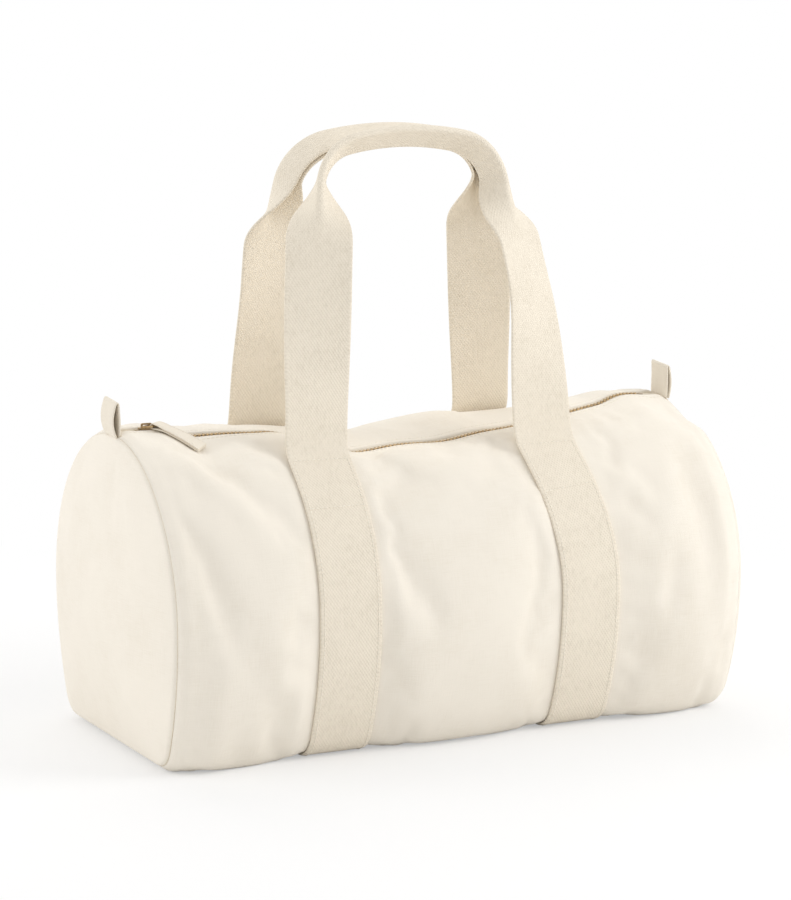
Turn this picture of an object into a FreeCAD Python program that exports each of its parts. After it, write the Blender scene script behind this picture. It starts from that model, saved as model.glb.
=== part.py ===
import FreeCAD, Part
import math
import os

from FreeCAD import Placement, Rotation, Vector

# A canvas barrel bag with a zip along its top, two webbing carry handles whose straps
# run on under the base, and a small fabric loop at each end. Sizes are in millimetres
# and degrees. X runs along the barrel, the front is at -Y, +Z is up, and the origin
# lies under the middle of the bag, on the floor.

# Canvas body
body_length = 470.0            # between the two end seams
body_width = 248.0             # across the widest line of the section
body_height = 236.0            # from the canvas base to the canvas top
base_share = 0.6855            # flat stretch of the base, as a share of body_width
widest_share = 0.458           # height of the widest line, as a share of body_height
canvas_thickness = 1.5
base_corner = 22.0             # radius between the base and the sides
top_radius_share = 0.98        # radius over the zip, as a share of an even oval's radius there
end_bulge = 8.0                # how far an end panel swells past its seam
end_inset = 18.0               # width of the soft rim over which it swells
end_ring_shares = ((0.0, 0.0), (0.62, 0.2), (1.0, 1.0))
binding_width = 5.0            # bound seam allowance, along the barrel
binding_depth = 9.0            # and in from the canvas
layer_gap = 0.15               # between fabric layers that are sewn together
moving_gap = 0.3               # between pieces that move on one another

# Webbing straps and handles
webbing_width = 50.0
webbing_thickness = 2.2
strap_spacing = 201.0          # centre to centre along the barrel
strap_end_angle = 27.0         # where a sewn strap stops, from the top of the section
hinge_angle = 32.0             # where a handle leaves the strap, from the top
handle_rise = 238.0            # from the hinge line to the top of the grip
leg_lean = 6.0                 # each leg's lean towards the middle of the bag
corner_radius = 53.0           # of the crease where a leg turns into the grip
grip_slope = 12.0              # slope of the grip at its ends
fold_tilt = 40.0               # twist of the folded grip out of the handle's plane
fold_gap = 1.2                 # inside the crease of the folded webbing
open_angle = 90.0              # half angle of the flat webbing
closed_angle = 2.0             # half angle of the folded webbing
twist_shares = (0.05, 0.7)     # stretch of a leg over which it twists
fold_shares = (0.68, 1.06)     # stretch of a leg over which it folds
leg_steps = 10
corner_steps = 6
grip_steps = 3
grip_meeting_gap = 1.0         # between the two grips where they lean together

# Zip
zip_gap = 11.0                 # between the hemmed canvas edges
tape_width = 14.0              # from the centre line to the outer edge of a tape
tape_thickness = 0.7
tooth_pitch = 3.3
tooth_length = 1.1             # along the zip
tooth_reach = 2.8              # from the centre line to the clamped end
tooth_head = 0.8               # past the centre line
tooth_throat = 0.7             # from the centre line to the root of the clamp
tooth_height = 2.4
stop_length = 3.4
stop_inset = 0.5               # from the centre line to a top stop
zip_margin = 17.5              # from an end seam to the nearer stop
stop_gap = 0.5                 # between a stop and the first tooth or the slider

# Zip slider
slider_length = 11.0
slider_width = 10.2
slider_nose_width = 7.0
slider_tail_width = 8.2
slider_shoulder = 2.5          # length of each tapered end
plate_thickness = 1.0
flange_thickness = 0.9
wedge_length = 3.0
wedge_width = 2.2
crown_length = 8.6
crown_width = 1.6
crown_bar = 1.2
crown_clearance = 0.4          # round the ring's bar in the crown

# Pull ring and fabric puller
ring_width = 17.0
ring_span = 8.6                # between the two bars' axes
ring_bar = 1.4
ring_corner = 1.2
pull_yaw = 50.0                # the puller points this far to the front of the zip
puller_width = 13.0
puller_length = 42.0           # from the ring's far bar
puller_layer = 1.2
puller_corner = 2.0
puller_samples = 20

# End loops
loop_width = 29.0
loop_height = 22.0
loop_bulge = 10.4              # across the open eye
loop_layer = 1.6
loop_root_radius = 1.8
loop_top_radius = 2.8
loop_bulge_share = 0.55        # height of the widest part of the eye
loop_eye_start = 3.4           # above the hinge line
eye_start_width = 0.8

# Heights and places that follow from the sizes above
base_z = webbing_thickness + layer_gap
top_z = base_z + body_height
widest_z = base_z + widest_share * body_height
crown_rise = top_z - widest_z
half_length = body_length / 2
half_width = body_width / 2
half_base = base_share * half_width
strap_x = strap_spacing / 2
top_radius = top_radius_share * half_width * half_width / crown_rise
tape_top_z = top_z - canvas_thickness - layer_gap
zip_z = tape_top_z - tape_thickness / 2
clamp_share = (tape_thickness + 2 * layer_gap) / tooth_height
tape_edge = tooth_throat + clamp_share * (tooth_reach - tooth_throat)
zip_start_x = -half_length + zip_margin
zip_end_x = half_length - zip_margin
slider_start_x = zip_start_x + stop_length + stop_gap + slider_length / 2
slider_end_x = zip_end_x - stop_length - stop_gap - slider_length / 2
plate_low = tooth_height / 2 + moving_gap
plate_high = plate_low + plate_thickness
crown_hole = ring_bar + 2 * crown_clearance
ring_z = zip_z + plate_high + crown_hole / 2
sleeve_hole = ring_bar / math.sqrt(2) + moving_gap
sleeve_radius = sleeve_hole + puller_layer
far_bar_z = top_z + moving_gap + sleeve_radius
ring_pitch = math.degrees(math.asin((far_bar_z - ring_z) / ring_span))
loop_axis_z = top_z + moving_gap + loop_root_radius
hinge_lift = layer_gap + webbing_thickness + moving_gap + webbing_thickness / 2
fold_flat = (webbing_thickness + fold_gap) / 2


def arc(centre, radius, start, end):
    """Arc of under a half circle between two points, about a centre."""
    middle = centre + ((start + end) / 2 - centre).normalize() * radius
    return Part.Arc(start, middle, end).toShape()


def flank_radius(across, tall, radius):
    """Radius of the flank that is upright at the widest line and meets a round of a given radius."""
    return (across * across + tall * tall - 2 * tall * radius) / (2 * (across - radius))


upper_flank = flank_radius(half_width, crown_rise, top_radius)
lower_flank = flank_radius(half_width - half_base, widest_z - base_z, base_corner)


def section(x, grow):
    """Closed outline of the barrel at x, grown outwards: a base line and seven tangent arcs."""
    low_share = (lower_flank + grow) / (lower_flank - base_corner)
    high_share = (upper_flank + grow) / (upper_flank - top_radius)
    rounds = []
    for side in (1, -1):
        corner = Vector(x, side * half_base, base_z + base_corner)
        low_flank = Vector(x, side * (half_width - lower_flank), widest_z)
        high_flank = Vector(x, side * (half_width - upper_flank), widest_z)
        crown = Vector(x, 0, top_z - top_radius)
        foot = Vector(x, side * half_base, base_z - grow)
        low_meet = low_flank + (corner - low_flank) * low_share
        wide = Vector(x, side * (half_width + grow), widest_z)
        high_meet = high_flank + (crown - high_flank) * high_share
        edges = [arc(corner, base_corner + grow, foot, low_meet)]
        edges.append(arc(low_flank, lower_flank + grow, low_meet, wide))
        edges.append(arc(high_flank, upper_flank + grow, wide, high_meet))
        rounds.append((foot, high_meet, edges))
    right, left = rounds
    edges = right[2] + [arc(crown, top_radius + grow, right[1], left[1])]
    edges += left[2][::-1] + [Part.makeLine(left[0], right[0])]
    return Part.Wire(edges)


def shell(x, length, outer, inner):
    """Length of barrel wall between two grown outlines."""
    ring = Part.Face(section(x, outer)).cut(Part.Face(section(x, inner)))
    return ring.extrude(Vector(length, 0, 0)).Solids[0]


def block(low, high):
    """Box between two opposite corners."""
    size = high - low
    return Part.makeBox(size.x, size.y, size.z, low)


def facet(points):
    """Flat face on a closed outline."""
    return Part.Face(Part.makePolygon(points + points[:1]))


def plate(points, depth):
    """Prism on a closed outline."""
    return facet(points).extrude(depth)


def save(name, shape):
    """Write one piece of the bag."""
    shape.exportStep("parts/" + name + ".step")


def surface_point(angle, lift):
    """Y distance and height of a point above the canvas where its normal has a given angle."""
    turn = math.radians(angle)
    meeting = math.atan2(half_width - upper_flank, widest_z - top_z + top_radius)
    if math.sin(turn) < math.sin(abs(meeting)):
        middle_y, middle_z, radius = 0, top_z - top_radius, top_radius
    else:
        middle_y, middle_z, radius = half_width - upper_flank, widest_z, upper_flank
    reach = radius + lift
    return middle_y + reach * math.sin(turn), middle_z + reach * math.cos(turn)


def body_panel():
    """One canvas panel round the barrel, open along the zip."""
    wall = shell(-half_length, body_length, 0, -canvas_thickness)
    slot_low = Vector(-half_length - zip_gap, -zip_gap / 2, widest_z)
    slot_high = Vector(half_length + zip_gap, zip_gap / 2, top_z + zip_gap)
    return wall.cut(block(slot_low, slot_high)).Solids[0]


def cushion(grow):
    """Solid end of the barrel with a soft rim, at the right end seam."""
    rings = []
    for out_share, in_share in end_ring_shares:
        x = half_length + out_share * (end_bulge + grow)
        rings.append(section(x, grow - in_share * end_inset))
    return Part.makeLoft(rings, True, True)


def end_panel(side):
    """Canvas panel with a soft rim, sewn to one end of the body panel."""
    shape = cushion(0).cut(cushion(-canvas_thickness)).Solids[0]
    if side < 0:
        shape = shape.mirror(Vector(0, 0, 0), Vector(1, 0, 0))
    return shape


def seam_binding(side):
    """Bound seam allowance that stands inside one end of the barrel."""
    start = half_length - binding_width if side > 0 else -half_length
    inset = canvas_thickness + layer_gap
    return shell(start, binding_width, -inset, -inset - binding_depth)


def sewn_strap(x):
    """Webbing from the front hinge line, under the base, to the rear hinge line."""
    band = shell(x - webbing_width / 2, webbing_width, layer_gap + webbing_thickness, layer_gap)
    turn = math.radians(strap_end_angle)
    y, z = surface_point(strap_end_angle, 0)
    apex = Vector(x - webbing_width, 0, z - y / math.tan(turn))
    reach = 2 * body_height
    points = [apex]
    for side in (1, -1):
        points.append(apex + Vector(0, side * math.sin(turn), math.cos(turn)) * reach)
    return band.cut(plate(points, Vector(2 * webbing_width, 0, 0))).Solids[0]


def zip_tape(side):
    """Woven tape under one hemmed edge of the canvas."""
    outer = canvas_thickness + layer_gap
    length = body_length - 2 * (binding_width + layer_gap)
    wall = shell(-length / 2, length, -outer, -outer - tape_thickness)
    near = min(side * tape_edge, side * tape_width)
    far = max(side * tape_edge, side * tape_width)
    window = block(Vector(-half_length, near, widest_z), Vector(half_length, far, top_z))
    return wall.common(window).Solids[0]


def clamped(side, x, length, head):
    """Metal piece clamped on the edge of one tape."""
    half = tooth_height / 2
    outline = [(-head, -half), (tooth_reach, -half), (tooth_throat, 0)]
    outline += [(tooth_reach, half), (-head, half)]
    points = [Vector(x, side * y, zip_z + z) for y, z in outline]
    return plate(points, Vector(length, 0, 0))


def zip_teeth(side):
    """Row of teeth on one tape, set half a pitch from the other row."""
    wedge_end_x = slider_start_x - slider_length / 2 + wedge_length + plate_thickness
    first_x = wedge_end_x + moving_gap
    if side > 0:
        first_x += tooth_pitch / 2
    room = zip_end_x - stop_length - stop_gap - tooth_length - first_x
    teeth = []
    for number in range(int(room / tooth_pitch) + 1):
        teeth.append(clamped(side, first_x + number * tooth_pitch, tooth_length, tooth_head))
    return Part.makeCompound(teeth)


def bottom_stop():
    """Staple that joins both tapes at the open end of the zip."""
    start_x = zip_end_x - stop_length
    front = clamped(-1, start_x, stop_length, 0)
    rear = clamped(1, start_x, stop_length, 0)
    return front.fuse(rear).removeSplitter().Solids[0]


def slider_plate(low_z):
    """Shield-shaped plate of the slider, its wide nose towards the closed end of the zip."""
    nose = slider_start_x - slider_length / 2
    tail = slider_start_x + slider_length / 2
    half = [(nose, slider_nose_width), (nose + slider_shoulder, slider_width)]
    half += [(tail - slider_shoulder, slider_width), (tail, slider_tail_width)]
    points = [Vector(x, -wide / 2, low_z) for x, wide in half]
    points += [Vector(x, wide / 2, low_z) for x, wide in reversed(half)]
    return plate(points, Vector(0, 0, plate_thickness))


def zip_slider():
    """Cast slider: two plates joined by the wedge, side flanges and the crown on top."""
    nose = slider_start_x - slider_length / 2
    tail = slider_start_x + slider_length / 2
    shape = slider_plate(zip_z + plate_low).fuse(slider_plate(zip_z - plate_high))
    wedge_low = Vector(nose + plate_thickness, -wedge_width / 2, zip_z - plate_high)
    wedge_high = Vector(wedge_low.x + wedge_length, wedge_width / 2, zip_z + plate_high)
    shape = shape.fuse(block(wedge_low, wedge_high))
    inner = tooth_reach + moving_gap
    over_tape = tape_thickness / 2 + moving_gap
    for side in (-1, 1):
        near = min(side * inner, side * (inner + flange_thickness))
        far = near + flange_thickness
        for low, high in ((over_tape, plate_high), (-plate_high, -over_tape)):
            flange_low = Vector(nose + slider_shoulder, near, zip_z + low)
            flange_high = Vector(tail - plate_thickness, far, zip_z + high)
            shape = shape.fuse(block(flange_low, flange_high))
    crown_low = Vector(slider_start_x - crown_length / 2, -crown_width / 2, zip_z + plate_low)
    crown_top = zip_z + plate_high + crown_hole + crown_bar
    crown_high = Vector(slider_start_x + crown_length / 2, crown_width / 2, crown_top)
    crown = block(crown_low, crown_high)
    upper = [e for e in crown.Edges if e.BoundBox.ZMin > crown_top - crown_bar / 2]
    upper = [e for e in upper if e.BoundBox.XLength < crown_width]
    crown = crown.makeFillet(crown_bar, upper)
    hole_x = crown_length / 2 - crown_bar
    hole_low = Vector(slider_start_x - hole_x, -crown_width, zip_z + plate_high)
    hole_high = Vector(slider_start_x + hole_x, crown_width, zip_z + plate_high + crown_hole)
    crown = crown.cut(block(hole_low, hole_high))
    return shape.fuse(crown).removeSplitter().Solids[0]


def pull_place(shape, along, height, pitch):
    """Turn a shape made along +X to the pull's direction, with its bar's axis at a height."""
    yaw = math.radians(pull_yaw)
    start = Vector(slider_start_x + along * math.cos(yaw), -along * math.sin(yaw), height)
    turn = Rotation(Vector(0, 0, 1), -pull_yaw).multiply(Rotation(Vector(0, 1, 0), -pitch))
    placed = shape.copy()
    placed.Placement = Placement(start, turn)
    return placed


def pull_ring():
    """Rectangular metal ring through the slider's crown."""
    half = ring_bar / 2
    outer = block(Vector(-half, -ring_width / 2, -half), Vector(ring_span + half, ring_width / 2, half))
    upright = [e for e in outer.Edges if e.BoundBox.ZLength > half]
    outer = outer.makeFillet(ring_corner, upright)
    inside = ring_width / 2 - ring_bar
    window = block(Vector(half, -inside, -ring_bar), Vector(ring_span - half, inside, ring_bar))
    return pull_place(outer.cut(window).Solids[0], 0, ring_z, ring_pitch)


def far_bar_along():
    """Level distance from the crown to the ring's far bar."""
    return ring_span * math.cos(math.radians(ring_pitch))


def puller_pitch():
    """Steepest droop at which the puller still clears the curved canvas."""
    yaw = math.radians(pull_yaw)
    slopes = []
    for number in range(1, puller_samples + 1):
        along = puller_length * number / puller_samples
        out = (far_bar_along() + along) * math.sin(yaw) - puller_width / 2 * math.cos(yaw)
        near = max(out, 0)
        canvas_z = top_z - top_radius + math.sqrt(top_radius * top_radius - near * near)
        clear_z = canvas_z + moving_gap + puller_layer
        slopes.append((clear_z - far_bar_z) / along)
    return math.degrees(math.atan(max(slopes)))


def fabric_puller():
    """Doubled strip of canvas, looped round the ring's far bar."""
    side = Vector(0, 1, 0)
    start = Vector(0, -puller_width / 2, 0)
    sleeve = Part.makeCylinder(sleeve_radius, puller_width, start, side)
    low = Vector(0, -puller_width / 2, -puller_layer)
    high = Vector(puller_length, puller_width / 2, puller_layer)
    tail = block(low, high)
    free = [e for e in tail.Edges if e.BoundBox.XMin > puller_length - puller_corner]
    free = [e for e in free if e.BoundBox.ZLength > puller_layer]
    tail = tail.makeFillet(puller_corner, free)
    bore = Part.makeCylinder(sleeve_hole, 2 * puller_width, Vector(0, -puller_width, 0), side)
    shape = sleeve.fuse(tail).cut(bore).removeSplitter().Solids[0]
    return pull_place(shape, far_bar_along(), far_bar_z, puller_pitch())


def loop_outline(inset, start, start_half):
    """Pointed arch of an end loop, across the barrel's end, at rest on its hinge line."""
    half = loop_bulge / 2 - inset
    top = loop_height - inset
    shoulder = loop_top_radius - inset
    bulge_z = loop_bulge_share * loop_height
    foot = Vector(start_half, 0, start)
    wide = Vector(half, 0, bulge_z)
    neck = Vector(shoulder, 0, top - shoulder)
    def mirrored(spot):
        return Vector(-spot.x, spot.y, spot.z)

    edges = [Part.Arc(foot, wide, neck).toShape()]
    edges.append(Part.Arc(neck, Vector(0, 0, top), mirrored(neck)).toShape())
    edges.append(Part.Arc(mirrored(neck), mirrored(wide), mirrored(foot)).toShape())
    edges.append(Part.makeLine(mirrored(foot), foot))
    return Part.Wire(edges)


def end_loop(side):
    """Folded fabric loop that stands on one end seam."""
    outer = Part.Face(loop_outline(0, 0, loop_root_radius))
    eye = Part.Face(loop_outline(loop_layer, loop_eye_start, eye_start_width / 2))
    across = Vector(0, loop_width, 0)
    shape = outer.cut(eye).extrude(across)
    root = Part.makeCylinder(loop_root_radius, loop_width, Vector(0, 0, 0), Vector(0, 1, 0))
    shape = shape.fuse(root).removeSplitter().Solids[0]
    return shape.translated(Vector(side * half_length, -loop_width / 2, loop_axis_z))


def eased(share, limits):
    """Smooth step from 0 to 1 between two shares."""
    step = min(max((share - limits[0]) / (limits[1] - limits[0]), 0), 1)
    return step * step * (3 - 2 * step)


def handle_arc():
    """Leg length and grip radius that make the crease line meet itself over the middle."""
    lean = math.radians(leg_lean)
    slope = math.radians(grip_slope)
    level = strap_x - corner_radius * (math.cos(lean) - math.sin(slope))
    rise = handle_rise - corner_radius * (math.cos(slope) - math.sin(lean))
    sag = (1 - math.cos(slope)) / math.sin(slope)
    leg = (rise - level * sag) / (math.cos(lean) - math.sin(lean) * sag)
    return leg, (level - leg * math.sin(lean)) / math.sin(slope)


def crease_stations():
    """Right half of the crease line: distance, place in the handle's plane and heading."""
    leg, grip_radius = handle_arc()
    heading = math.radians(90 + leg_lean)
    level = math.radians(180)
    turned = level - math.radians(grip_slope)
    stations = []
    x, rise, distance = strap_x, 0, 0
    for number in range(leg_steps):
        run = leg * number / leg_steps
        stations.append((run, x + run * math.cos(heading), run * math.sin(heading), heading))
    x += leg * math.cos(heading)
    rise += leg * math.sin(heading)
    distance += leg
    stretches = ((corner_radius, heading, turned, corner_steps), (grip_radius, turned, level, grip_steps))
    for radius, first, last, steps in stretches:
        for number in range(steps):
            now = first + (last - first) * number / steps
            along = x + radius * (math.sin(now) - math.sin(first))
            up = rise + radius * (math.cos(first) - math.cos(now))
            stations.append((distance + radius * (now - first), along, up, now))
        x += radius * (math.sin(last) - math.sin(first))
        rise += radius * (math.cos(first) - math.cos(last))
        distance += radius * (last - first)
    stations.append((distance, 0, rise, level))
    return stations


def handle_lean():
    """Angle at which a handle leans inwards until the two grips meet."""
    hinge_y = surface_point(hinge_angle, hinge_lift)[0]
    target = hinge_y - grip_meeting_gap / 2
    half_fold = fold_flat + webbing_thickness / 2
    arm = webbing_width / 2
    opened = math.sin(math.radians(closed_angle)) * arm
    low, high = 0.0, math.radians(45)
    while high - low > math.radians(closed_angle) / 1e6:
        lean = (low + high) / 2
        tilt = math.radians(fold_tilt) + lean
        inner = arm * math.cos(tilt) + (half_fold + opened) * math.sin(tilt)
        reach = handle_rise * math.sin(lean) + inner
        low, high = (lean, high) if reach < target else (low, lean)
    return low


def fold_section(spot, ahead, deep, half_angle):
    """Outline of the webbing across its length: flat, folding, or folded on its crease."""
    wide = deep.cross(ahead)
    arm = webbing_width / 2 - fold_flat
    half = webbing_thickness / 2
    outer, inner = [], []
    for side in (1, -1):
        across = wide * side
        along = deep * math.cos(half_angle) + across * math.sin(half_angle)
        normal = across * math.cos(half_angle) - deep * math.sin(half_angle)
        corner = (normal - deep) * (1 / (1 + math.sin(half_angle)))
        bend = spot + across * fold_flat
        end = bend + along * arm
        outer.append((end + normal * half, bend + corner * half))
        inner.append((end - normal * half, bend - corner * half))
    points = [outer[0][0], outer[0][1], outer[1][1], outer[1][0]]
    return points + [inner[1][0], inner[1][1], inner[0][1], inner[0][0]]


def skinned(sections):
    """Solid of flat facets between neighbouring outlines, closed at both ends."""
    faces = []
    for near, far in zip(sections, sections[1:]):
        for here in range(len(near)):
            after = (here + 1) % len(near)
            faces.append(facet([near[here], near[after], far[after]]))
            faces.append(facet([near[here], far[after], far[here]]))
    faces.append(facet(sections[0]))
    faces.append(facet(sections[-1]))
    hull = Part.makeShell(faces)
    hull.sewShape()
    solid = Part.makeSolid(hull)
    if solid.Volume < 0:
        solid.reverse()
    return solid


def carry_handle(side):
    """Free loop of webbing: flat legs that twist and fold lengthwise into the grip."""
    lean = handle_lean()
    hinge_y, hinge_z = surface_point(hinge_angle, hinge_lift)
    foot = Vector(0, side * hinge_y, hinge_z)
    upward = Vector(0, -side * math.sin(lean), math.cos(lean))
    inward = Vector(0, -side * math.cos(lean), -math.sin(lean))
    level = Vector(1, 0, 0)
    leg = handle_arc()[0]
    right = crease_stations()
    total = 2 * right[-1][0]
    left = [(total - d, -x, v, math.radians(360) - h) for d, x, v, h in reversed(right[:-1])]
    sections = []
    for distance, x, rise, heading in right + left:
        share = min(distance, total - distance) / leg
        if share == 0:
            heading = math.radians(90 if x > 0 else 270)
        ahead = level * math.cos(heading) + upward * math.sin(heading)
        within = upward * math.cos(heading) - level * math.sin(heading)
        twist = math.radians(fold_tilt) * eased(share, twist_shares)
        deep = inward * math.cos(twist) + within * math.sin(twist)
        closing = (open_angle - closed_angle) * eased(share, fold_shares)
        half_angle = math.radians(open_angle - closing)
        spot = foot + level * x + upward * rise
        sections.append(fold_section(spot, ahead, deep, half_angle))
    shape = skinned(sections)
    radius = webbing_thickness / 2
    for x in (-strap_x, strap_x):
        start = foot + level * (x - webbing_width / 2)
        outer_edge = start - inward * radius
        inner_edge = start + inward * radius
        arc = Part.Arc(outer_edge, start - upward * radius, inner_edge).toShape()
        rim = Part.Wire([arc, Part.makeLine(inner_edge, outer_edge)])
        shape = shape.fuse(Part.Face(rim).extrude(level * webbing_width))
    return shape.Solids[0]


def build():
    """Make every piece and write it to its own file."""
    os.makedirs("parts", exist_ok=True)
    save("body_panel", body_panel())
    for side, name in ((-1, "left"), (1, "right")):
        save(name + "_end_panel", end_panel(side))
        save(name + "_seam_binding", seam_binding(side))
        save(name + "_strap", sewn_strap(side * strap_x))
        save(name + "_end_loop", end_loop(side))
    for side, name in ((-1, "front"), (1, "rear")):
        save(name + "_zip_tape", zip_tape(side))
        save(name + "_zip_teeth", zip_teeth(side))
        save(name + "_top_stop", clamped(side, zip_start_x, stop_length, -stop_inset))
        save(name + "_handle", carry_handle(side))
    save("zip_bottom_stop", bottom_stop())
    save("zip_slider", zip_slider())
    save("zip_pull_ring", pull_ring())
    save("fabric_puller", fabric_puller())


build()
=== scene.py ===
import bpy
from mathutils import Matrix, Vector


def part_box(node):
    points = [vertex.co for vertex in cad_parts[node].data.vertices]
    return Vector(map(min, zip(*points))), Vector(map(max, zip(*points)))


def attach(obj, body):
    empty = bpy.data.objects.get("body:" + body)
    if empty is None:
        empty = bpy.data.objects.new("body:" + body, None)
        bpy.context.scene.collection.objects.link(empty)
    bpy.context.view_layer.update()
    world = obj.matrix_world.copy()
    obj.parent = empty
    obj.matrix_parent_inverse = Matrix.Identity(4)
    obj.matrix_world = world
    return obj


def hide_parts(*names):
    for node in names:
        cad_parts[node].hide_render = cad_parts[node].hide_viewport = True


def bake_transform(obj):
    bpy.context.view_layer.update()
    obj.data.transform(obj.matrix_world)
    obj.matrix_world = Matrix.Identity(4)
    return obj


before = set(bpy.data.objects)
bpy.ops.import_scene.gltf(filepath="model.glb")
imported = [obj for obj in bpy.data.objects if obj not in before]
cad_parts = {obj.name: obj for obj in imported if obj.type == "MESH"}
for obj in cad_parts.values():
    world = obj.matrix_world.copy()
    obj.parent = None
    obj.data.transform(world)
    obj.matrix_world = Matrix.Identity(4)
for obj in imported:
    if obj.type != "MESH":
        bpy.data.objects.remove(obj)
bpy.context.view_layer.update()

import math

import bpy
import numpy as np
from bpy.props import FloatProperty, FloatVectorProperty, PointerProperty
from mathutils import Vector

bl_info = {
    "name": "Canvas Barrel Bag",
    "version": (1, 0, 0),
    "blender": (4, 5, 0),
    "location": "3D View > Sidebar > Barrel Bag",
    "description": "Dresses the frame of a canvas barrel bag with cloth, webbing, zip and stitching",
    "category": "Object",
}

# All lengths are in metres. LAYER_GAP lies between two layers of cloth, HEM_ROW from the zip's hem to its
# stitches, and LOOP_SHARE is the width of an end loop as a share of its solid's
LAYER_GAP = 0.00015
HEM_ROW = 0.0065
LOOP_SHARE = 0.84
BODY_LOW, BODY_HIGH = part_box("body_panel")
_, TEETH_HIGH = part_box("front_zip_teeth")
LOOP_LOW, LOOP_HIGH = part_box("left_end_loop")
STRAP_LOW, STRAP_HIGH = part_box("right_strap")
ENDS = ((-1, "left"), (1, "right"))
FACES = ((-1, "front"), (1, "rear"))


def length(name, description, default):
    """Property for a size in metres."""
    return FloatProperty(name=name, description=description, default=default, unit="LENGTH", precision=4)


def angle(name, description, degrees):
    """Property for an angle."""
    return FloatProperty(name=name, description=description, default=math.radians(degrees), subtype="ANGLE")


def share(name, description, default):
    """Property for a share of another size."""
    return FloatProperty(name=name, description=description, default=default, subtype="FACTOR")


def tint(name, description, default):
    """Property for a colour."""
    return FloatVectorProperty(
        name=name, description=description, default=default, subtype="COLOR", min=0.0, max=1.0)


class BagSizes(bpy.types.PropertyGroup):
    """Sizes of the bag that a user would change."""

    body_length: length("Body length", "Between the two end seams", BODY_HIGH[0] - BODY_LOW[0])
    body_width: length("Body width", "Across the widest line of the section", BODY_HIGH[1] - BODY_LOW[1])
    body_height: length("Body height", "From the canvas base to the canvas top", 0.236)
    base_width: length("Base width", "Flat stretch of the base", 0.170)
    widest: share("Widest line", "Height of the widest line, as a share of the body height", 0.458)
    top_round: length("Top round", "Radius of the canvas over the zip", 0.1178)
    base_round: length("Base round", "Radius between the base and the sides", 0.022)
    canvas_thickness: length("Canvas thickness", "Thickness of the body canvas", 0.0015)
    fullness: length("Fullness", "How far the canvas swells between the straps", 0.0048)
    end_bulge: length("End bulge", "How far an end swells past its seam", 0.013)
    zip_sag: length("Zip sag", "How far the zip dips between the straps", 0.0255)
    slack: length("Slack limit", "Most that the settled canvas may move", 0.009)
    webbing_width: length("Webbing width", "Width of the straps and handles", 0.050)
    webbing_thickness: length("Webbing thickness", "Thickness of the straps and handles", 0.0022)
    strap_spacing: length("Strap spacing", "Between the middles of the straps", STRAP_LOW[0] + STRAP_HIGH[0])
    hinge_angle: angle("Hinge angle", "Where a handle leaves the canvas, from the top of the section", 32.0)
    handle_rise: length("Handle rise", "From the hinge line to the top of the grip", 0.238)
    handle_lean: angle("Handle lean", "Lean of a handle towards the other", 9.9)
    leg_lean: angle("Leg lean", "Lean of a leg towards the middle of the bag", 6.0)
    leg_shift: length("Leg shift", "How far a slack leg may stray from its straight line", 0.011)
    corner_round: length("Corner round", "Radius where a leg turns into the grip", 0.042)
    grip_slope: angle("Grip slope", "Slope of the grip at its ends", 12.0)
    fold_tilt: angle("Fold tilt", "Twist of the folded grip", 25.0)
    fold_gap: length("Fold gap", "Room inside the folded grip", 0.0012)
    zip_opening: length("Zip opening", "Between the hemmed edges of the canvas", 0.011)
    tape_reach: length("Tape reach", "From the middle of the zip to a tape's edge", 0.014)
    tooth_pitch: length("Tooth pitch", "Between two teeth of one row", 0.0033)
    puller_length: length("Puller length", "From the ring to the end of the puller", 0.0395)
    puller_width: length("Puller width", "Width of the fabric puller", 0.013)
    puller_roll: angle("Puller roll", "Roll of the puller's end, its front edge down", 12.0)
    pull_yaw: angle("Puller turn", "Turn of the puller towards the front", 50.0)
    loop_width: length("Loop width", "Width of an end loop", LOOP_SHARE * (LOOP_HIGH[1] - LOOP_LOW[1]))
    loop_tilt: angle("Loop tilt", "Tilt of an end loop, its front side down", 5.0)
    loop_bulge: length("Loop bulge", "Across the open eye of an end loop", 0.0054)
    stitch_length: length("Stitch length", "Length of one stitch", 0.0027)
    stitch_pitch: length("Stitch pitch", "From one stitch to the next", 0.0036)


class BagColours(bpy.types.PropertyGroup):
    """Colours of the bag's cloth, thread and metal, and of the floor."""

    canvas: tint("Canvas", "Natural unbleached canvas", (0.890, 0.833, 0.738))
    webbing: tint("Webbing", "Woven cotton straps", (0.840, 0.765, 0.645))
    tape: tint("Zip tape", "Woven tape of the zip", (0.780, 0.700, 0.570))
    thread: tint("Thread", "Sewing thread", (0.900, 0.845, 0.745))
    brass: tint("Zip metal", "Aged brass of the zip", (0.420, 0.300, 0.160))
    floor: tint("Floor", "Pale studio floor", (0.930, 0.930, 0.930))


# Shape of the barrel

def base_level(sizes):
    """Height of the canvas base, on top of the straps that pass under it."""
    return sizes.webbing_thickness + LAYER_GAP


def flank(across, tall, round_radius):
    """Radius of a flank that is upright at the widest line and meets a round."""
    return (across ** 2 + tall ** 2 - 2 * tall * round_radius) / (2 * (across - round_radius))


def section_runs(sizes):
    """Arcs of half the section, from the top to the base: centre, radius and the angles from upright."""
    half = sizes.body_width / 2
    low = base_level(sizes)
    top = low + sizes.body_height
    wide = low + sizes.widest * sizes.body_height
    upper = flank(half, top - wide, sizes.top_round)
    lower = flank(half - sizes.base_width / 2, wide - low, sizes.base_round)
    crown = top - sizes.top_round
    corner = low + sizes.base_round
    first = math.atan2(upper - half, crown - wide)
    last = math.atan2(sizes.base_width / 2 - (half - lower), corner - wide)
    return [
        (0.0, crown, sizes.top_round, 0.0, first),
        (half - upper, wide, upper, first, math.pi / 2),
        (half - lower, wide, lower, math.pi / 2, last),
        (sizes.base_width / 2, corner, sizes.base_round, last, math.pi),
    ]


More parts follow.
